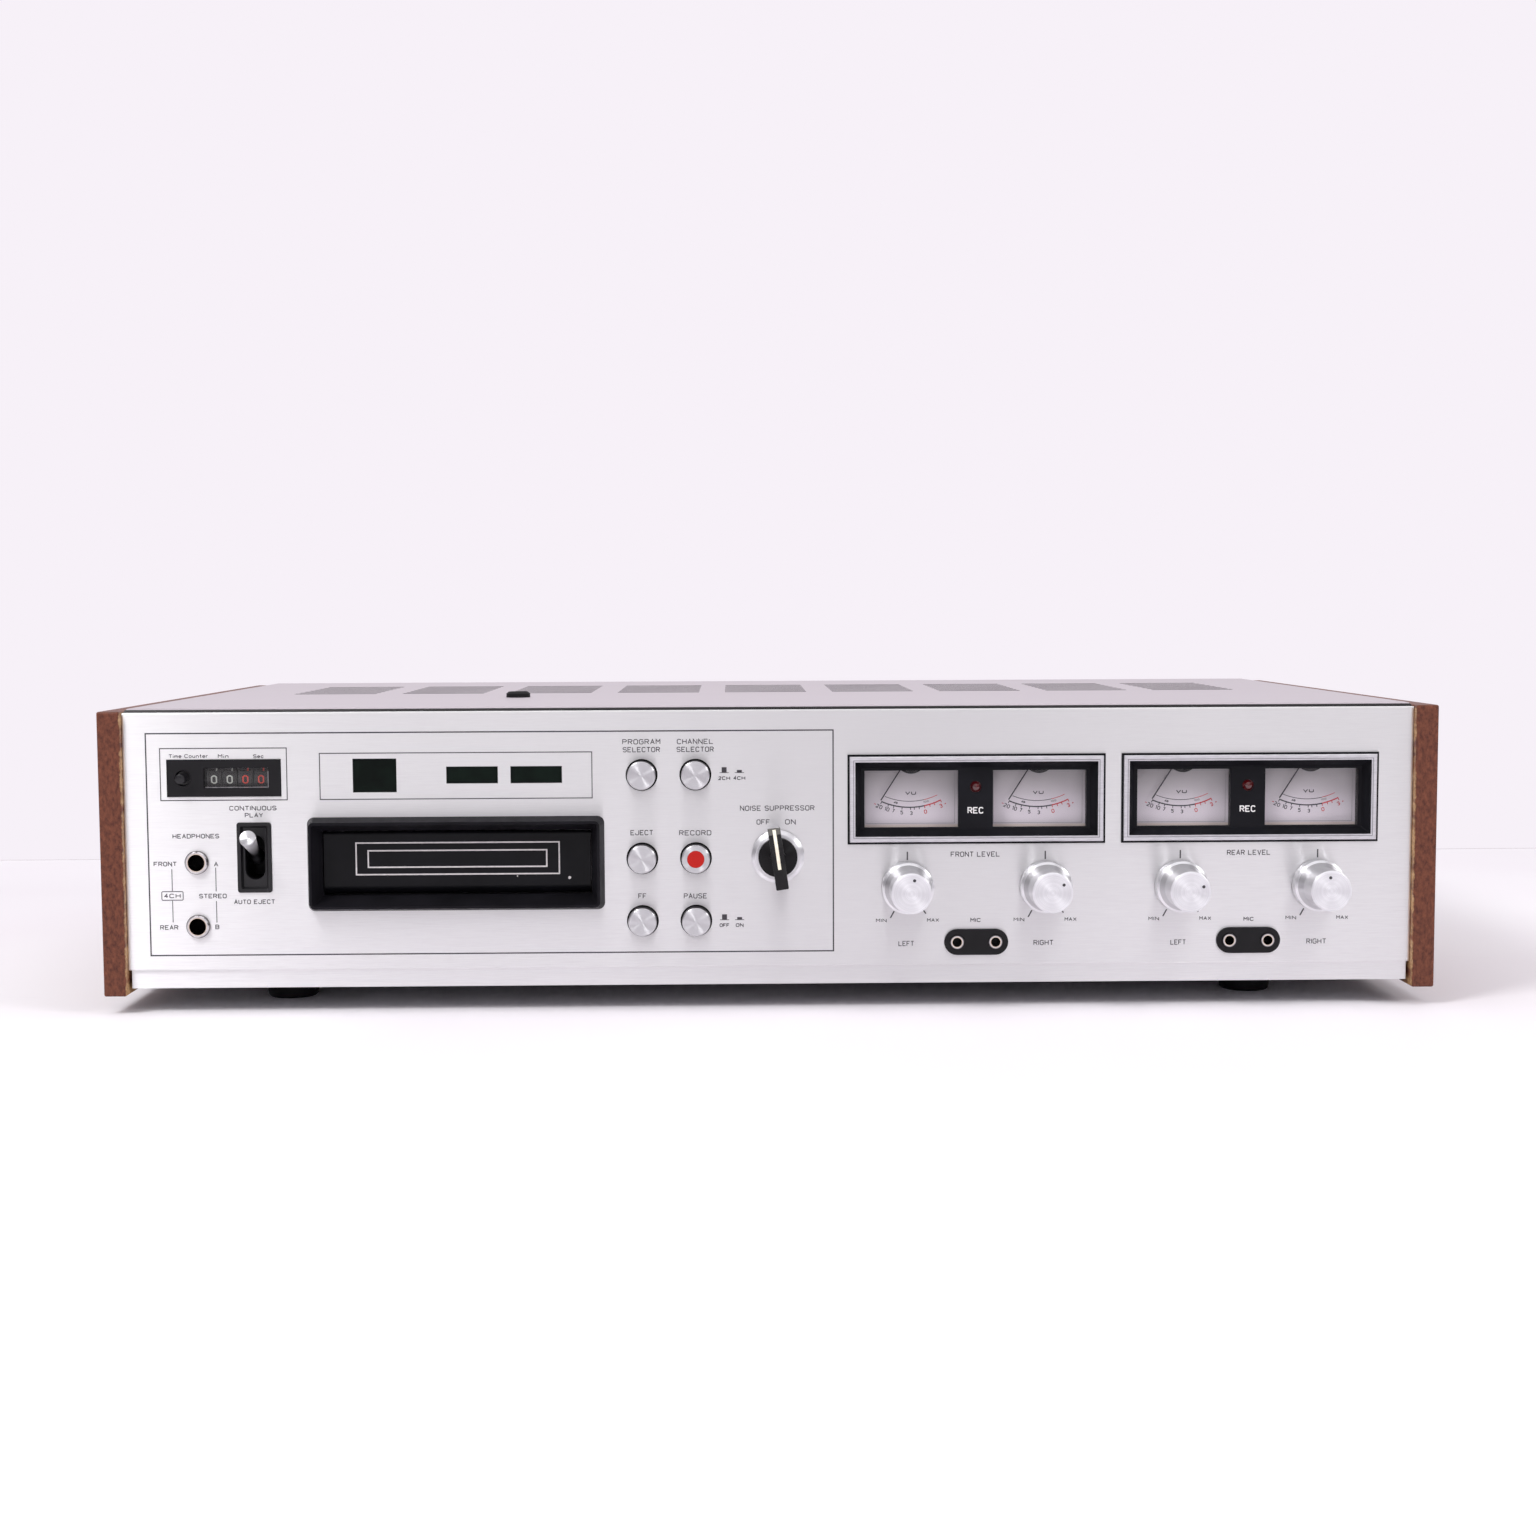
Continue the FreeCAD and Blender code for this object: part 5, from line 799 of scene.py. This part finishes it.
def make_lever():
    """Bright bat lever with a turned flat tip; it pivots where the CAD lever does."""
    angle = math.radians(LEVER_TILT)
    axis = Vector((0.0, -math.cos(angle), math.sin(angle)))
    pivot = Vector((LEVER_X * MM, PANEL + LEVER_PIVOT * MM, LEVER_Z * MM))
    tip = pivot + axis * (LEVER_PROFILE[-1][1] * MM)
    # painted shade darkens the lever towards its root
    shade_depths = [tip.y + far * MM for far in LEVER_SHADE]
    finish = spun("switch_lever", LEVER_SILVER, (tip.x, tip.z), 0.36, shade_depths=shade_depths)
    rings = [circle_ring(pivot + axis * (along * MM), axis, radius * MM) for radius, along in LEVER_PROFILE]
    lever = rings_piece("bat_lever", rings, finish, "switch_lever", True)
    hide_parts("switch_lever")


def make_escutcheon():
    """Black plate with a bevelled recess round the lever's slot."""
    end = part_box("lever_plate")[1].y
    rings = [rounded_ring(LEVER_X * MM, LEVER_Z * MM, end if y is None else PANEL + y * MM,
                          width * MM, height * MM, radius * MM) for width, height, radius, y in ESCUTCHEON]
    plate = rings_piece("lever_escutcheon", rings, moulded("escutcheon", (20, 19, 22), 0.34, 0.08, 0.4),
                        "chassis", False)
    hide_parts("lever_plate")


def make_reset_button():
    """Slim black push button that stands in a wider hole."""
    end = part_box("reset_button")[1].y
    x, z = (c * MM for c in RESET_SPOT)
    rings = [circle_ring((x, end if reach is None else PANEL - reach * MM, z), (0, -1, 0), radius * MM)
             for radius, reach in RESET_PROFILE]
    button = rings_piece("counter_reset", rings, moulded("reset_plastic", (24, 23, 26), 0.3, 0.05, 0.4),
                         "reset_button", True)
    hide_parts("reset_button")


# ---- legends and rules on the panel ----
# cap height: (text, x, z, width as on the deck)
PANEL_LEGENDS = {
    1.75: (("CONTINUOUS", -197.4, 78.7, 17.9), ("PLAY", -197.1, 76.0, 6.9),
           ("AUTO EJECT", -197.6, 42.8, 15.6), ("HEADPHONES", -219.3, 68.1, 17.7), ("FRONT", -231.2, 57.5, 8.8),
           ("REAR", -230.3, 33.1, 6.9), ("A", -211.9, 57.3, 1.7), ("B", -212.0, 33.2, 1.5),
           ("STEREO", -213.4, 45.1, 10.5)),
    1.7: (("4CH", -228.75, 45.25, 6.2),),
    2.0: (("PROGRAM", -49.5, 103.2, 14.5), ("SELECTOR", -49.5, 100.2, 14.2), ("CHANNEL", -29.0, 103.2, 13.9),
          ("SELECTOR", -29.0, 100.2, 14.2), ("EJECT", -49.6, 68.4, 8.7), ("RECORD", -29.2, 68.2, 12.3),
          ("FF", -49.6, 44.0, 3.2), ("PAUSE", -29.3, 43.9, 8.9), ("NOISE SUPPRESSOR", 2.2, 77.5, 28.5),
          ("OFF", -3.2, 72.2, 5.1), ("ON", 7.2, 72.2, 4.1), ("FRONT LEVEL", 78.1, 59.3, 18.9),
          ("REAR LEVEL", 183.4, 59.3, 16.8), ("LEFT", 51.6, 24.9, 6.0), ("RIGHT", 104.5, 24.9, 7.7),
          ("LEFT", 156.5, 24.7, 6.0), ("RIGHT", 210.0, 24.7, 7.7)),
    1.4: (("2CH", -18.0, 89.1, 4.5), ("4CH", -12.2, 89.1, 4.5), ("OFF", -18.2, 32.5, 3.8),
          ("ON", -12.4, 32.5, 3.0)),
    1.5: (("MIC", 78.3, 33.8, 4.0), ("MIC", 183.7, 33.5, 4.0)),
}
COUNTER_LEGENDS = {1.45: (("Time Counter", -221.4, 98.7, 14.9), ("Min", -208.2, 98.6, 4.0),
                          ("Sec", -194.9, 98.5, 4.0))}
# (x0, x1, z0, z1, line width, corner radius)
PANEL_RULES = ((-237.45, 23.6, 22.3, 107.3, 0.5, 0.0), (-232.2, -184.3, 81.8, 101.6, 0.36, 0.0),
               (-171.8, -68.4, 81.85, 99.45, 0.36, 0.0), (-232.8, -224.7, 43.6, 46.9, 0.3, 0.45))
# (x, low z, high z)
CONNECTORS = ((-228.75, 47.1, 55.5), (-228.75, 35.1, 43.4), (-212.1, 46.9, 56.0), (-212.1, 34.9, 43.2))
# pictures of a button standing out and pushed in: (x, z, block height)
BUTTON_STATES = ((-18.0, 91.2, 2.0), (-12.2, 91.2, 0.9), (-18.2, 34.6, 2.0), (-12.4, 34.6, 0.9))
DIAL_TICKS = ((90.0, 10.4, 13.6), (-118.5, 10.6, 13.6), (-55.5, 10.6, 12.6))    # angle, inner and outer radius
DIAL_WORDS = (("MIN", -10.0, 4.1, 1.35), ("MAX", 9.9, 4.6, 1.35))
DIAL_WORD_DROP = 12.9
CONNECTOR_W, TICK_W = 0.3, 0.5
STATE_HALF, STATE_LINE, STATE_BLOCK = 1.75, 0.22, 1.9        # half a line's length, its width, the block's


def print_panel():
    rules = upright()
    for x0, x1, z0, z1, width, radius in PANEL_RULES:
        rules.frame(x0, x1, z0, z1, width, radius)
    for x, z0, z1 in CONNECTORS:
        rules.line([(x, z0), (x, z1)], CONNECTOR_W)
    rules.make("panel_rules", RULE_INK)

    for name, legends, stroke in (("panel_legends", PANEL_LEGENDS, LEGEND_STROKE),
                                  ("counter_legends", COUNTER_LEGENDS, SMALL_STROKE)):
        words = upright()
        for height, rows in legends.items():
            for row in rows:
                words.words(*row, height, stroke)
        words.make(name, DARK_INK)

    states = upright()
    for x, z, tall in BUTTON_STATES:
        states.line([(x - STATE_HALF, z), (x + STATE_HALF, z)], STATE_LINE)
        states.line([(x, z + STATE_LINE / 2), (x, z + STATE_LINE / 2 + tall)], STATE_BLOCK)
    states.make("button_state_marks", RULE_INK)

    dials = upright()
    for knob in KNOBS:
        x, z = (c / MM for c in spot(knob))
        for angle, inner, outer in DIAL_TICKS:
            dials.line([polar(x, z, inner, angle), polar(x, z, outer, angle)], TICK_W)
        for text, over, width, height in DIAL_WORDS:
            dials.words(text, x + over, z - DIAL_WORD_DROP, width, height, SMALL_STROKE)
    dials.make("dial_marks", DARK_INK)


METER_X = (78.5, 183.5)
MASK_FLOOR = 3.0             # tray's floor, behind the panel's face
REC_LETTERS = (75.9, 6.2, 2.5, 0.42)         # Z, width, cap height, stroke
BEZEL_STEP = 1.55            # step's distance from the frame's outer edge
TRIM_W = 0.22
PANE_EDGE, PANE_EDGE_TOP = 0.3, 1.2          # painted highlight of the lit edge, inset from the pane's sides and from its top


def print_record_legends():
    """REC beside each lamp, bold, on the floor of the black tray."""
    words = upright(PANEL + MASK_FLOOR * MM)
    for x in METER_X:
        words.words("REC", x, *REC_LETTERS)
    words.make("record_legends", WHITE_INK, slot="scale_white")


def print_trim():
    """Painted shadow along a fine step round each silver frame, and a painted highlight on the lit edge of the
    counter's pane.
    """
    low, high = (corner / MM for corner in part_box("meter_bezels"))
    half = high.x - METER_X[1] - BEZEL_STEP
    # painted shadow: a grey line where each frame has a step
    step_shadows = upright(front("meter_bezels"))
    for x in METER_X:
        step_shadows.frame(x - half, x + half, low.z + BEZEL_STEP, high.z - BEZEL_STEP, TRIM_W)
    step_shadows.make("bezel_step_shadows", STEP_SHADOW_INK, slot="grey_plastic")
    low, high = (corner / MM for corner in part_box("counter_window"))
    left, right, foot = low.x + PANE_EDGE, high.x - PANE_EDGE, low.z + PANE_EDGE
    # painted highlight along the bottom and right edges of the counter's pane
    edge = upright(front("counter_window"))
    edge.line([(left, foot), (right, foot), (right, high.z - PANE_EDGE_TOP)], TRIM_W)
    edge.make("pane_edge_highlight", PALE_PRINT_AND_PAINTED_LIGHT, slot="grey_plastic")


KNOB_DOT = (5.1, 0.6)        # radius of its circle, its own radius
KNOB_DOT_TURN = (12.0, 54.0, 67.0, -6.0)


def print_knob_dots():
    for knob, turn in zip(KNOBS, KNOB_DOT_TURN):
        x, z = spot(knob)
        face = Print((x, front(knob), z))
        face.dot(*polar(0.0, 0.0, KNOB_DOT[0], 90.0 - turn), KNOB_DOT[1])
        face.make(knob + "_dot", RULE_INK, knob, "black_plastic")


SELECTOR_LINE = (1.25, -3.6, 4.8, 11.1)      # width, low end, start of the slope, high end along the grip
SELECTOR_SLOPE = 6.0 / 6.5   # the grip's upper end falls back by this much of its length
SLOPE_STAND = 1.4            # the line stands off further along Y, for the sloped end's sake


def print_selector_line():
    """Cream line along the grip's crest and down its sloped upper end."""
    x, z = spot("selector_knob")
    up = Vector(GRIP_UP)
    right = Vector((math.cos(SELECTOR_TURN), 0.0, math.sin(SELECTOR_TURN)))
    crest = Vector((x, front("selector_knob"), z))
    width, low, bend_at, high = SELECTOR_LINE

    def over_grip(u, v, height):
        drop = max(0.0, v - bend_at * MM) * SELECTOR_SLOPE
        return crest + right * u + up * v + Vector((0.0, drop - height * SLOPE_STAND, 0.0))

    line = Print(crest, right, up, bend=over_grip)
    line.line([(0.0, low), (0.0, bend_at), (0.0, high)], width)
    line.make("selector_pointer_line", CREAM_INK, "selector_knob", "scale_white")


# ---- flap of the cartridge mouth ----
DOOR_RULES = ((-159.2, -81.5, 52.5, 64.7), (-154.6, -86.3, 55.3, 61.7))
DOOR_RULE_W = 0.54
DOOR_SPECKS = ((-77.6, 50.9, 0.6), (-97.6, 51.6, 0.25))      # chips in the paint: x, z, radius


def print_door():
    face = upright(front("cartridge_door"))
    for x0, x1, z0, z1 in DOOR_RULES:
        face.frame(x0, x1, z0, z1, DOOR_RULE_W)
    for x, z, radius in DOOR_SPECKS:
        face.dot(x, z, radius, 8)
    face.make("door_rules", SILVER_INK, "cartridge_door", "scale_white")


# ---- counter wheels ----
DIGIT_H, DIGIT_W, DIGIT_STROKE = 3.3, 2.3, 0.5
DIGIT_STEP = 36.0
DIGIT_REST = -5.5            # the shown digit stands this many degrees below the axis


def print_wheel(wheel, ink_used, slot):
    """Numbers 0 to 9 wrapped round the wheel; 0 shows at rest and higher numbers stand above it."""
    low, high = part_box(wheel)
    centre, radius = (low + high) / 2, (high.z - low.z) / 2

    def bend(u, v, height):
        angle = v / radius
        reach = radius + height
        return Vector((centre.x + u, centre.y - reach * math.cos(angle), centre.z + reach * math.sin(angle)))

    digits = Print(centre, bend=bend)
    for number in range(10):
        around = math.radians(number * DIGIT_STEP + DIGIT_REST) * radius / MM
        digits.words(str(number), 0.0, around, DIGIT_W, DIGIT_H, DIGIT_STROKE)
    digits.make(wheel + "_numbers", ink_used, wheel, slot)


# ---- meter scales ----
SCALE_CENTRE = (-0.2, 23.3)  # of the printed arcs, from the window's middle
SCALE_R, UPPER_R = 27.0, 24.66
SCALE_ARC, RED_FROM = (246.0, 296.4), 282.2      # degrees, left and right end
UPPER_ARC, UPPER_RED = (247.1, 295.5), 283.0
SCALE_TICKS = (246.3, 252.4, 257.0, 263.8, 270.7, 273.7, 277.7)
RED_TICKS = (282.2, 286.5, 290.3, 296.1)
# (text, from the window's middle in X and Z, turn in degrees, width, height)
SCALE_NUMBERS = (("20", -12.0, -3.3, -24, 2.5, 1.6), ("10", -9.0, -4.35, -18, 1.9, 1.6),
                 ("7", -6.55, -5.0, -12, 0.95, 1.5), ("5", -3.3, -5.7, -6, 1.05, 1.5),
                 ("3", 0.4, -5.95, 0, 1.05, 1.5), ("40", -5.6, -1.85, -11, 1.5, 0.8))
RED_NUMBERS = (("0", 5.9, -5.4, 13, 1.15, 1.6), ("3", 11.9, -3.2, 26, 1.1, 1.6),
               ("+", 13.6, -2.3, 26, 0.9, 0.9), ("-", -13.6, -2.3, -24, 1.0, 0.7))
SMALL_MARK = ("100", 6.1, -1.5, 13, 2.3, 0.8)
VU_PLACE, VU_SIZE = (0.15, 1.85), (4.2, 1.35)
SCALE_BORDER = (17.2, 9.9)
ARC_W, UPPER_W, SCALE_TICK_W, BORDER_W = 0.48, 0.24, 0.3, 0.14
TICK_REACH = (0.2, 1.0)      # outwards from the lower arc
NUMBER_STROKE, VU_STROKE = 0.28, 0.34


def print_scale(name, x):
    """Two arcs, ticks and numbers; the right ends are red."""
    plane = (x * MM, front("meter_scales"), METER_WINDOW_Z * MM)
    # the pale print holds the small printed mark and the painted shadow of the border
    black, red, pale_print_and_shade = Print(plane), Print(plane), Print(plane)
    u, v = SCALE_CENTRE
    for ink_plane, start, end, upper_start, upper_end, ticks in (
            (black, SCALE_ARC[0], RED_FROM, UPPER_ARC[0], UPPER_RED, SCALE_TICKS),
            (red, RED_FROM, SCALE_ARC[1], UPPER_RED, UPPER_ARC[1], RED_TICKS)):
        ink_plane.arc(u, v, SCALE_R, start, end, ARC_W)
        ink_plane.arc(u, v, UPPER_R, upper_start, upper_end, UPPER_W)
        for angle in ticks:
            ink_plane.line([polar(u, v, SCALE_R + reach, angle) for reach in TICK_REACH], SCALE_TICK_W)
    for ink_plane, rows in ((black, SCALE_NUMBERS), (red, RED_NUMBERS), (pale_print_and_shade, (SMALL_MARK,))):
        for row in rows:
            turned_words(ink_plane, *row)
    black.words("VU", *VU_PLACE, *VU_SIZE, VU_STROKE)
    # painted shadow: a thin grey border where the clear cover steps in front of the scale
    half_x, half_z = SCALE_BORDER
    pale_print_and_shade.frame(-half_x, half_x, -half_z, half_z, BORDER_W)
    black.make(name + "_scale_print", SCALE_INK)
    red.make(name + "_scale_red_print", SCALE_RED, slot="red_plastic")
    pale_print_and_shade.make(name + "_scale_border_shadow_and_mark", PALE_PRINT_AND_PAINTED_LIGHT, slot="grey_plastic")


def turned_words(plane, text, u, v, turn, width, height):
    """Lettering turned by some degrees about its own middle."""
    angle = math.radians(turn)
    right, up, origin = plane.right, plane.up, plane.origin
    plane.origin = origin + right * (u * MM) + up * (v * MM)
    plane.right = right * math.cos(angle) + up * math.sin(angle)
    plane.up = up * math.cos(angle) - right * math.sin(angle)
    plane.words(text, 0.0, 0.0, width, height, NUMBER_STROKE)
    plane.right, plane.up, plane.origin = right, up, origin


# ---- stage ----
TABLE_BACK, TABLE_SLANT = 0.376, 0.012       # the table's far edge: Y at the middle, and its slope
SEAM_W, STAGE_HALF = 0.0016, 6.0
TABLE_FADE = (1.0, 1.9)      # distances from the part over which the table turns into the backdrop
TABLE_TONE, TABLE_SHADE, BACKDROP_TONE = (253, 251, 254), (247, 242, 247), (247, 241, 248)
SEAM_TONE = (196, 186, 190)
SCUFF_TONE = (228, 224, 228)


def shown_rays(nodes):
    """1 for rays that show the background: from the camera, a gloss or through glass."""
    rays = nodes.node("LightPath").outputs
    return nodes.math("MAXIMUM", rays["Is Camera Ray"],
                      nodes.math("MAXIMUM", rays["Is Glossy Ray"], rays["Is Transmission Ray"]))


def floor_material():
    """Pale table with faint scuffs; behind its far edge the floor shows as the backdrop."""
    m = Paint("pale_table", TABLE_TONE, 0.6, gloss=0.3)
    place = m.split(m.where)
    scuff = m.span(m.noise(1.0, 5.0, 0.7, (9, 26, 1)), 0.66, 0.72, 0.0, 0.25)
    table = m.mottled(m.noise(2.5, 3.0), TABLE_TONE, TABLE_SHADE)
    m.color(m.mix(scuff, table, SCUFF_TONE))
    edge = m.minus(place["Y"], m.math("ADD", TABLE_BACK, m.times(place["X"], TABLE_SLANT)))
    far = m.less(0.0, edge)
    seam = m.times(far, m.less(edge, SEAM_W))
    backdrop = m.node("Emission", {"Color": m.mix(seam, BACKDROP_TONE, SEAM_TONE)})
    # far from the part, where the lamps don't reach, the camera sees the backdrop's tone
    reach = m.span(m.vector("LENGTH", m.where), *TABLE_FADE, smooth=True)
    seen = m.times(reach, m.node("LightPath").outputs["Is Camera Ray"])
    m.surface(m.math("MAXIMUM", seen, m.times(far, shown_rays(m))), m.shader, backdrop)
    return m.mat


def make_stage():
    s, low = STAGE_HALF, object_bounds()[0][2]
    data = bpy.data.meshes.new("table_top")
    data.from_pydata([(-s, -s, low), (s, -s, low), (s, s, low), (-s, s, low)], [], [(0, 1, 2, 3)])
    data.materials.append(floor_material())
    floor = put("table_top", data)


# ---- light and camera ----
# (name, place, looks at, width, height, watts)
LAMPS = (
    ("left_lamp", (-1.05, -1.0, 1.5), (0.0, 0.0, 0.05), 0.55, 0.55, 17.5),
    ("right_lamp", (1.7, -1.0, 0.95), (0.0, 0.0, 0.05), 0.55, 0.55, 12.0),
    ("overhead_lamp", (0.0, -0.25, 2.2), (0.0, -0.1, 0.05), 2.6, 1.6, 10.5),
)
# as bright metal shows the room: in front, to the sides and above
SHOWN_HORIZON, SHOWN_SIDES, SHOWN_CEILING = (204, 201, 206), (84, 82, 86), (240, 238, 242)
SIDE_REACH = (0.34, 0.6)
# the room: dim round the sides, brighter overhead, white behind the table
HORIZON_TONE, CEILING_TONE, BEHIND_TONE = (134, 130, 136), (200, 198, 202), (200, 196, 200)
CEILING_RISE = (0.05, 0.55)  # sine of the elevation where the ceiling starts and is reached
BEHIND_REACH = (-0.05, 0.35)


def make_light():
    for name, place, target, width, height, watts in LAMPS:
        data = bpy.data.lights.new(name, "AREA")
        data.shape, data.size, data.size_y, data.energy = "RECTANGLE", width, height, watts
        lamp = put(name, data)
        lamp.location = place
        lamp.rotation_euler = (Vector(target) - Vector(place)).to_track_quat("-Z", "Y").to_euler()
    world = bpy.data.worlds.new("studio")
    bpy.context.scene.world = world
    world.use_nodes = True
    world.node_tree.nodes.clear()
    w = Nodes(world.node_tree)
    way = w.split(w.node("TexCoord").outputs["Generated"])
    rise = w.span(way["Z"], *CEILING_RISE, smooth=True)
    behind = w.span(way["Y"], *BEHIND_REACH, smooth=True)
    camera = w.node("LightPath").outputs["Is Camera Ray"]
    aside = w.span(w.size(way["X"]), *SIDE_REACH, smooth=True)
    level = w.mix(aside, SHOWN_HORIZON, SHOWN_SIDES)
    mirrored = w.mix(behind, w.mix(rise, level, SHOWN_CEILING), BACKDROP_TONE)
    shown = w.mix(camera, mirrored, BACKDROP_TONE)
    lit = w.mix(behind, w.mix(rise, HORIZON_TONE, CEILING_TONE), BEHIND_TONE)
    sky = w.node("Background", {"Color": w.mix(shown_rays(w), lit, shown)})
    w.node("OutputWorld", {"Surface": sky.outputs[0]})


def make_camera():
    data = bpy.data.cameras.new("camera")
    data.sensor_width, data.lens = SENSOR, CAMERA_LENS
    data.clip_start, data.clip_end = 0.01, 50.0
    camera = put("camera", data)
    turn = Matrix((CAMERA_RIGHT, [-c for c in CAMERA_DOWN], [-c for c in CAMERA_AHEAD])).transposed()
    camera.matrix_world = Matrix.Translation(CAMERA_PLACE) @ turn.to_4x4()
    bpy.context.scene.camera = camera


# ---- the scene ----
make_camera()
make_stage()
make_light()
dress_everything()
make_lever()
make_escutcheon()
make_reset_button()
print_panel()
print_record_legends()
print_trim()
print_knob_dots()
print_selector_line()
print_door()
minutes, seconds = (DIGIT_WHITE, "scale_white"), (DIGIT_RED, "red_plastic")
for wheel, look in zip(WHEELS, (minutes, minutes, seconds, seconds)):
    print_wheel(wheel, *look)
for channel, window_x in zip(CHANNELS, METER_WINDOW_X):
    print_scale(channel + "_meter", window_x)

bpy.context.scene.view_settings.view_transform = "Standard"
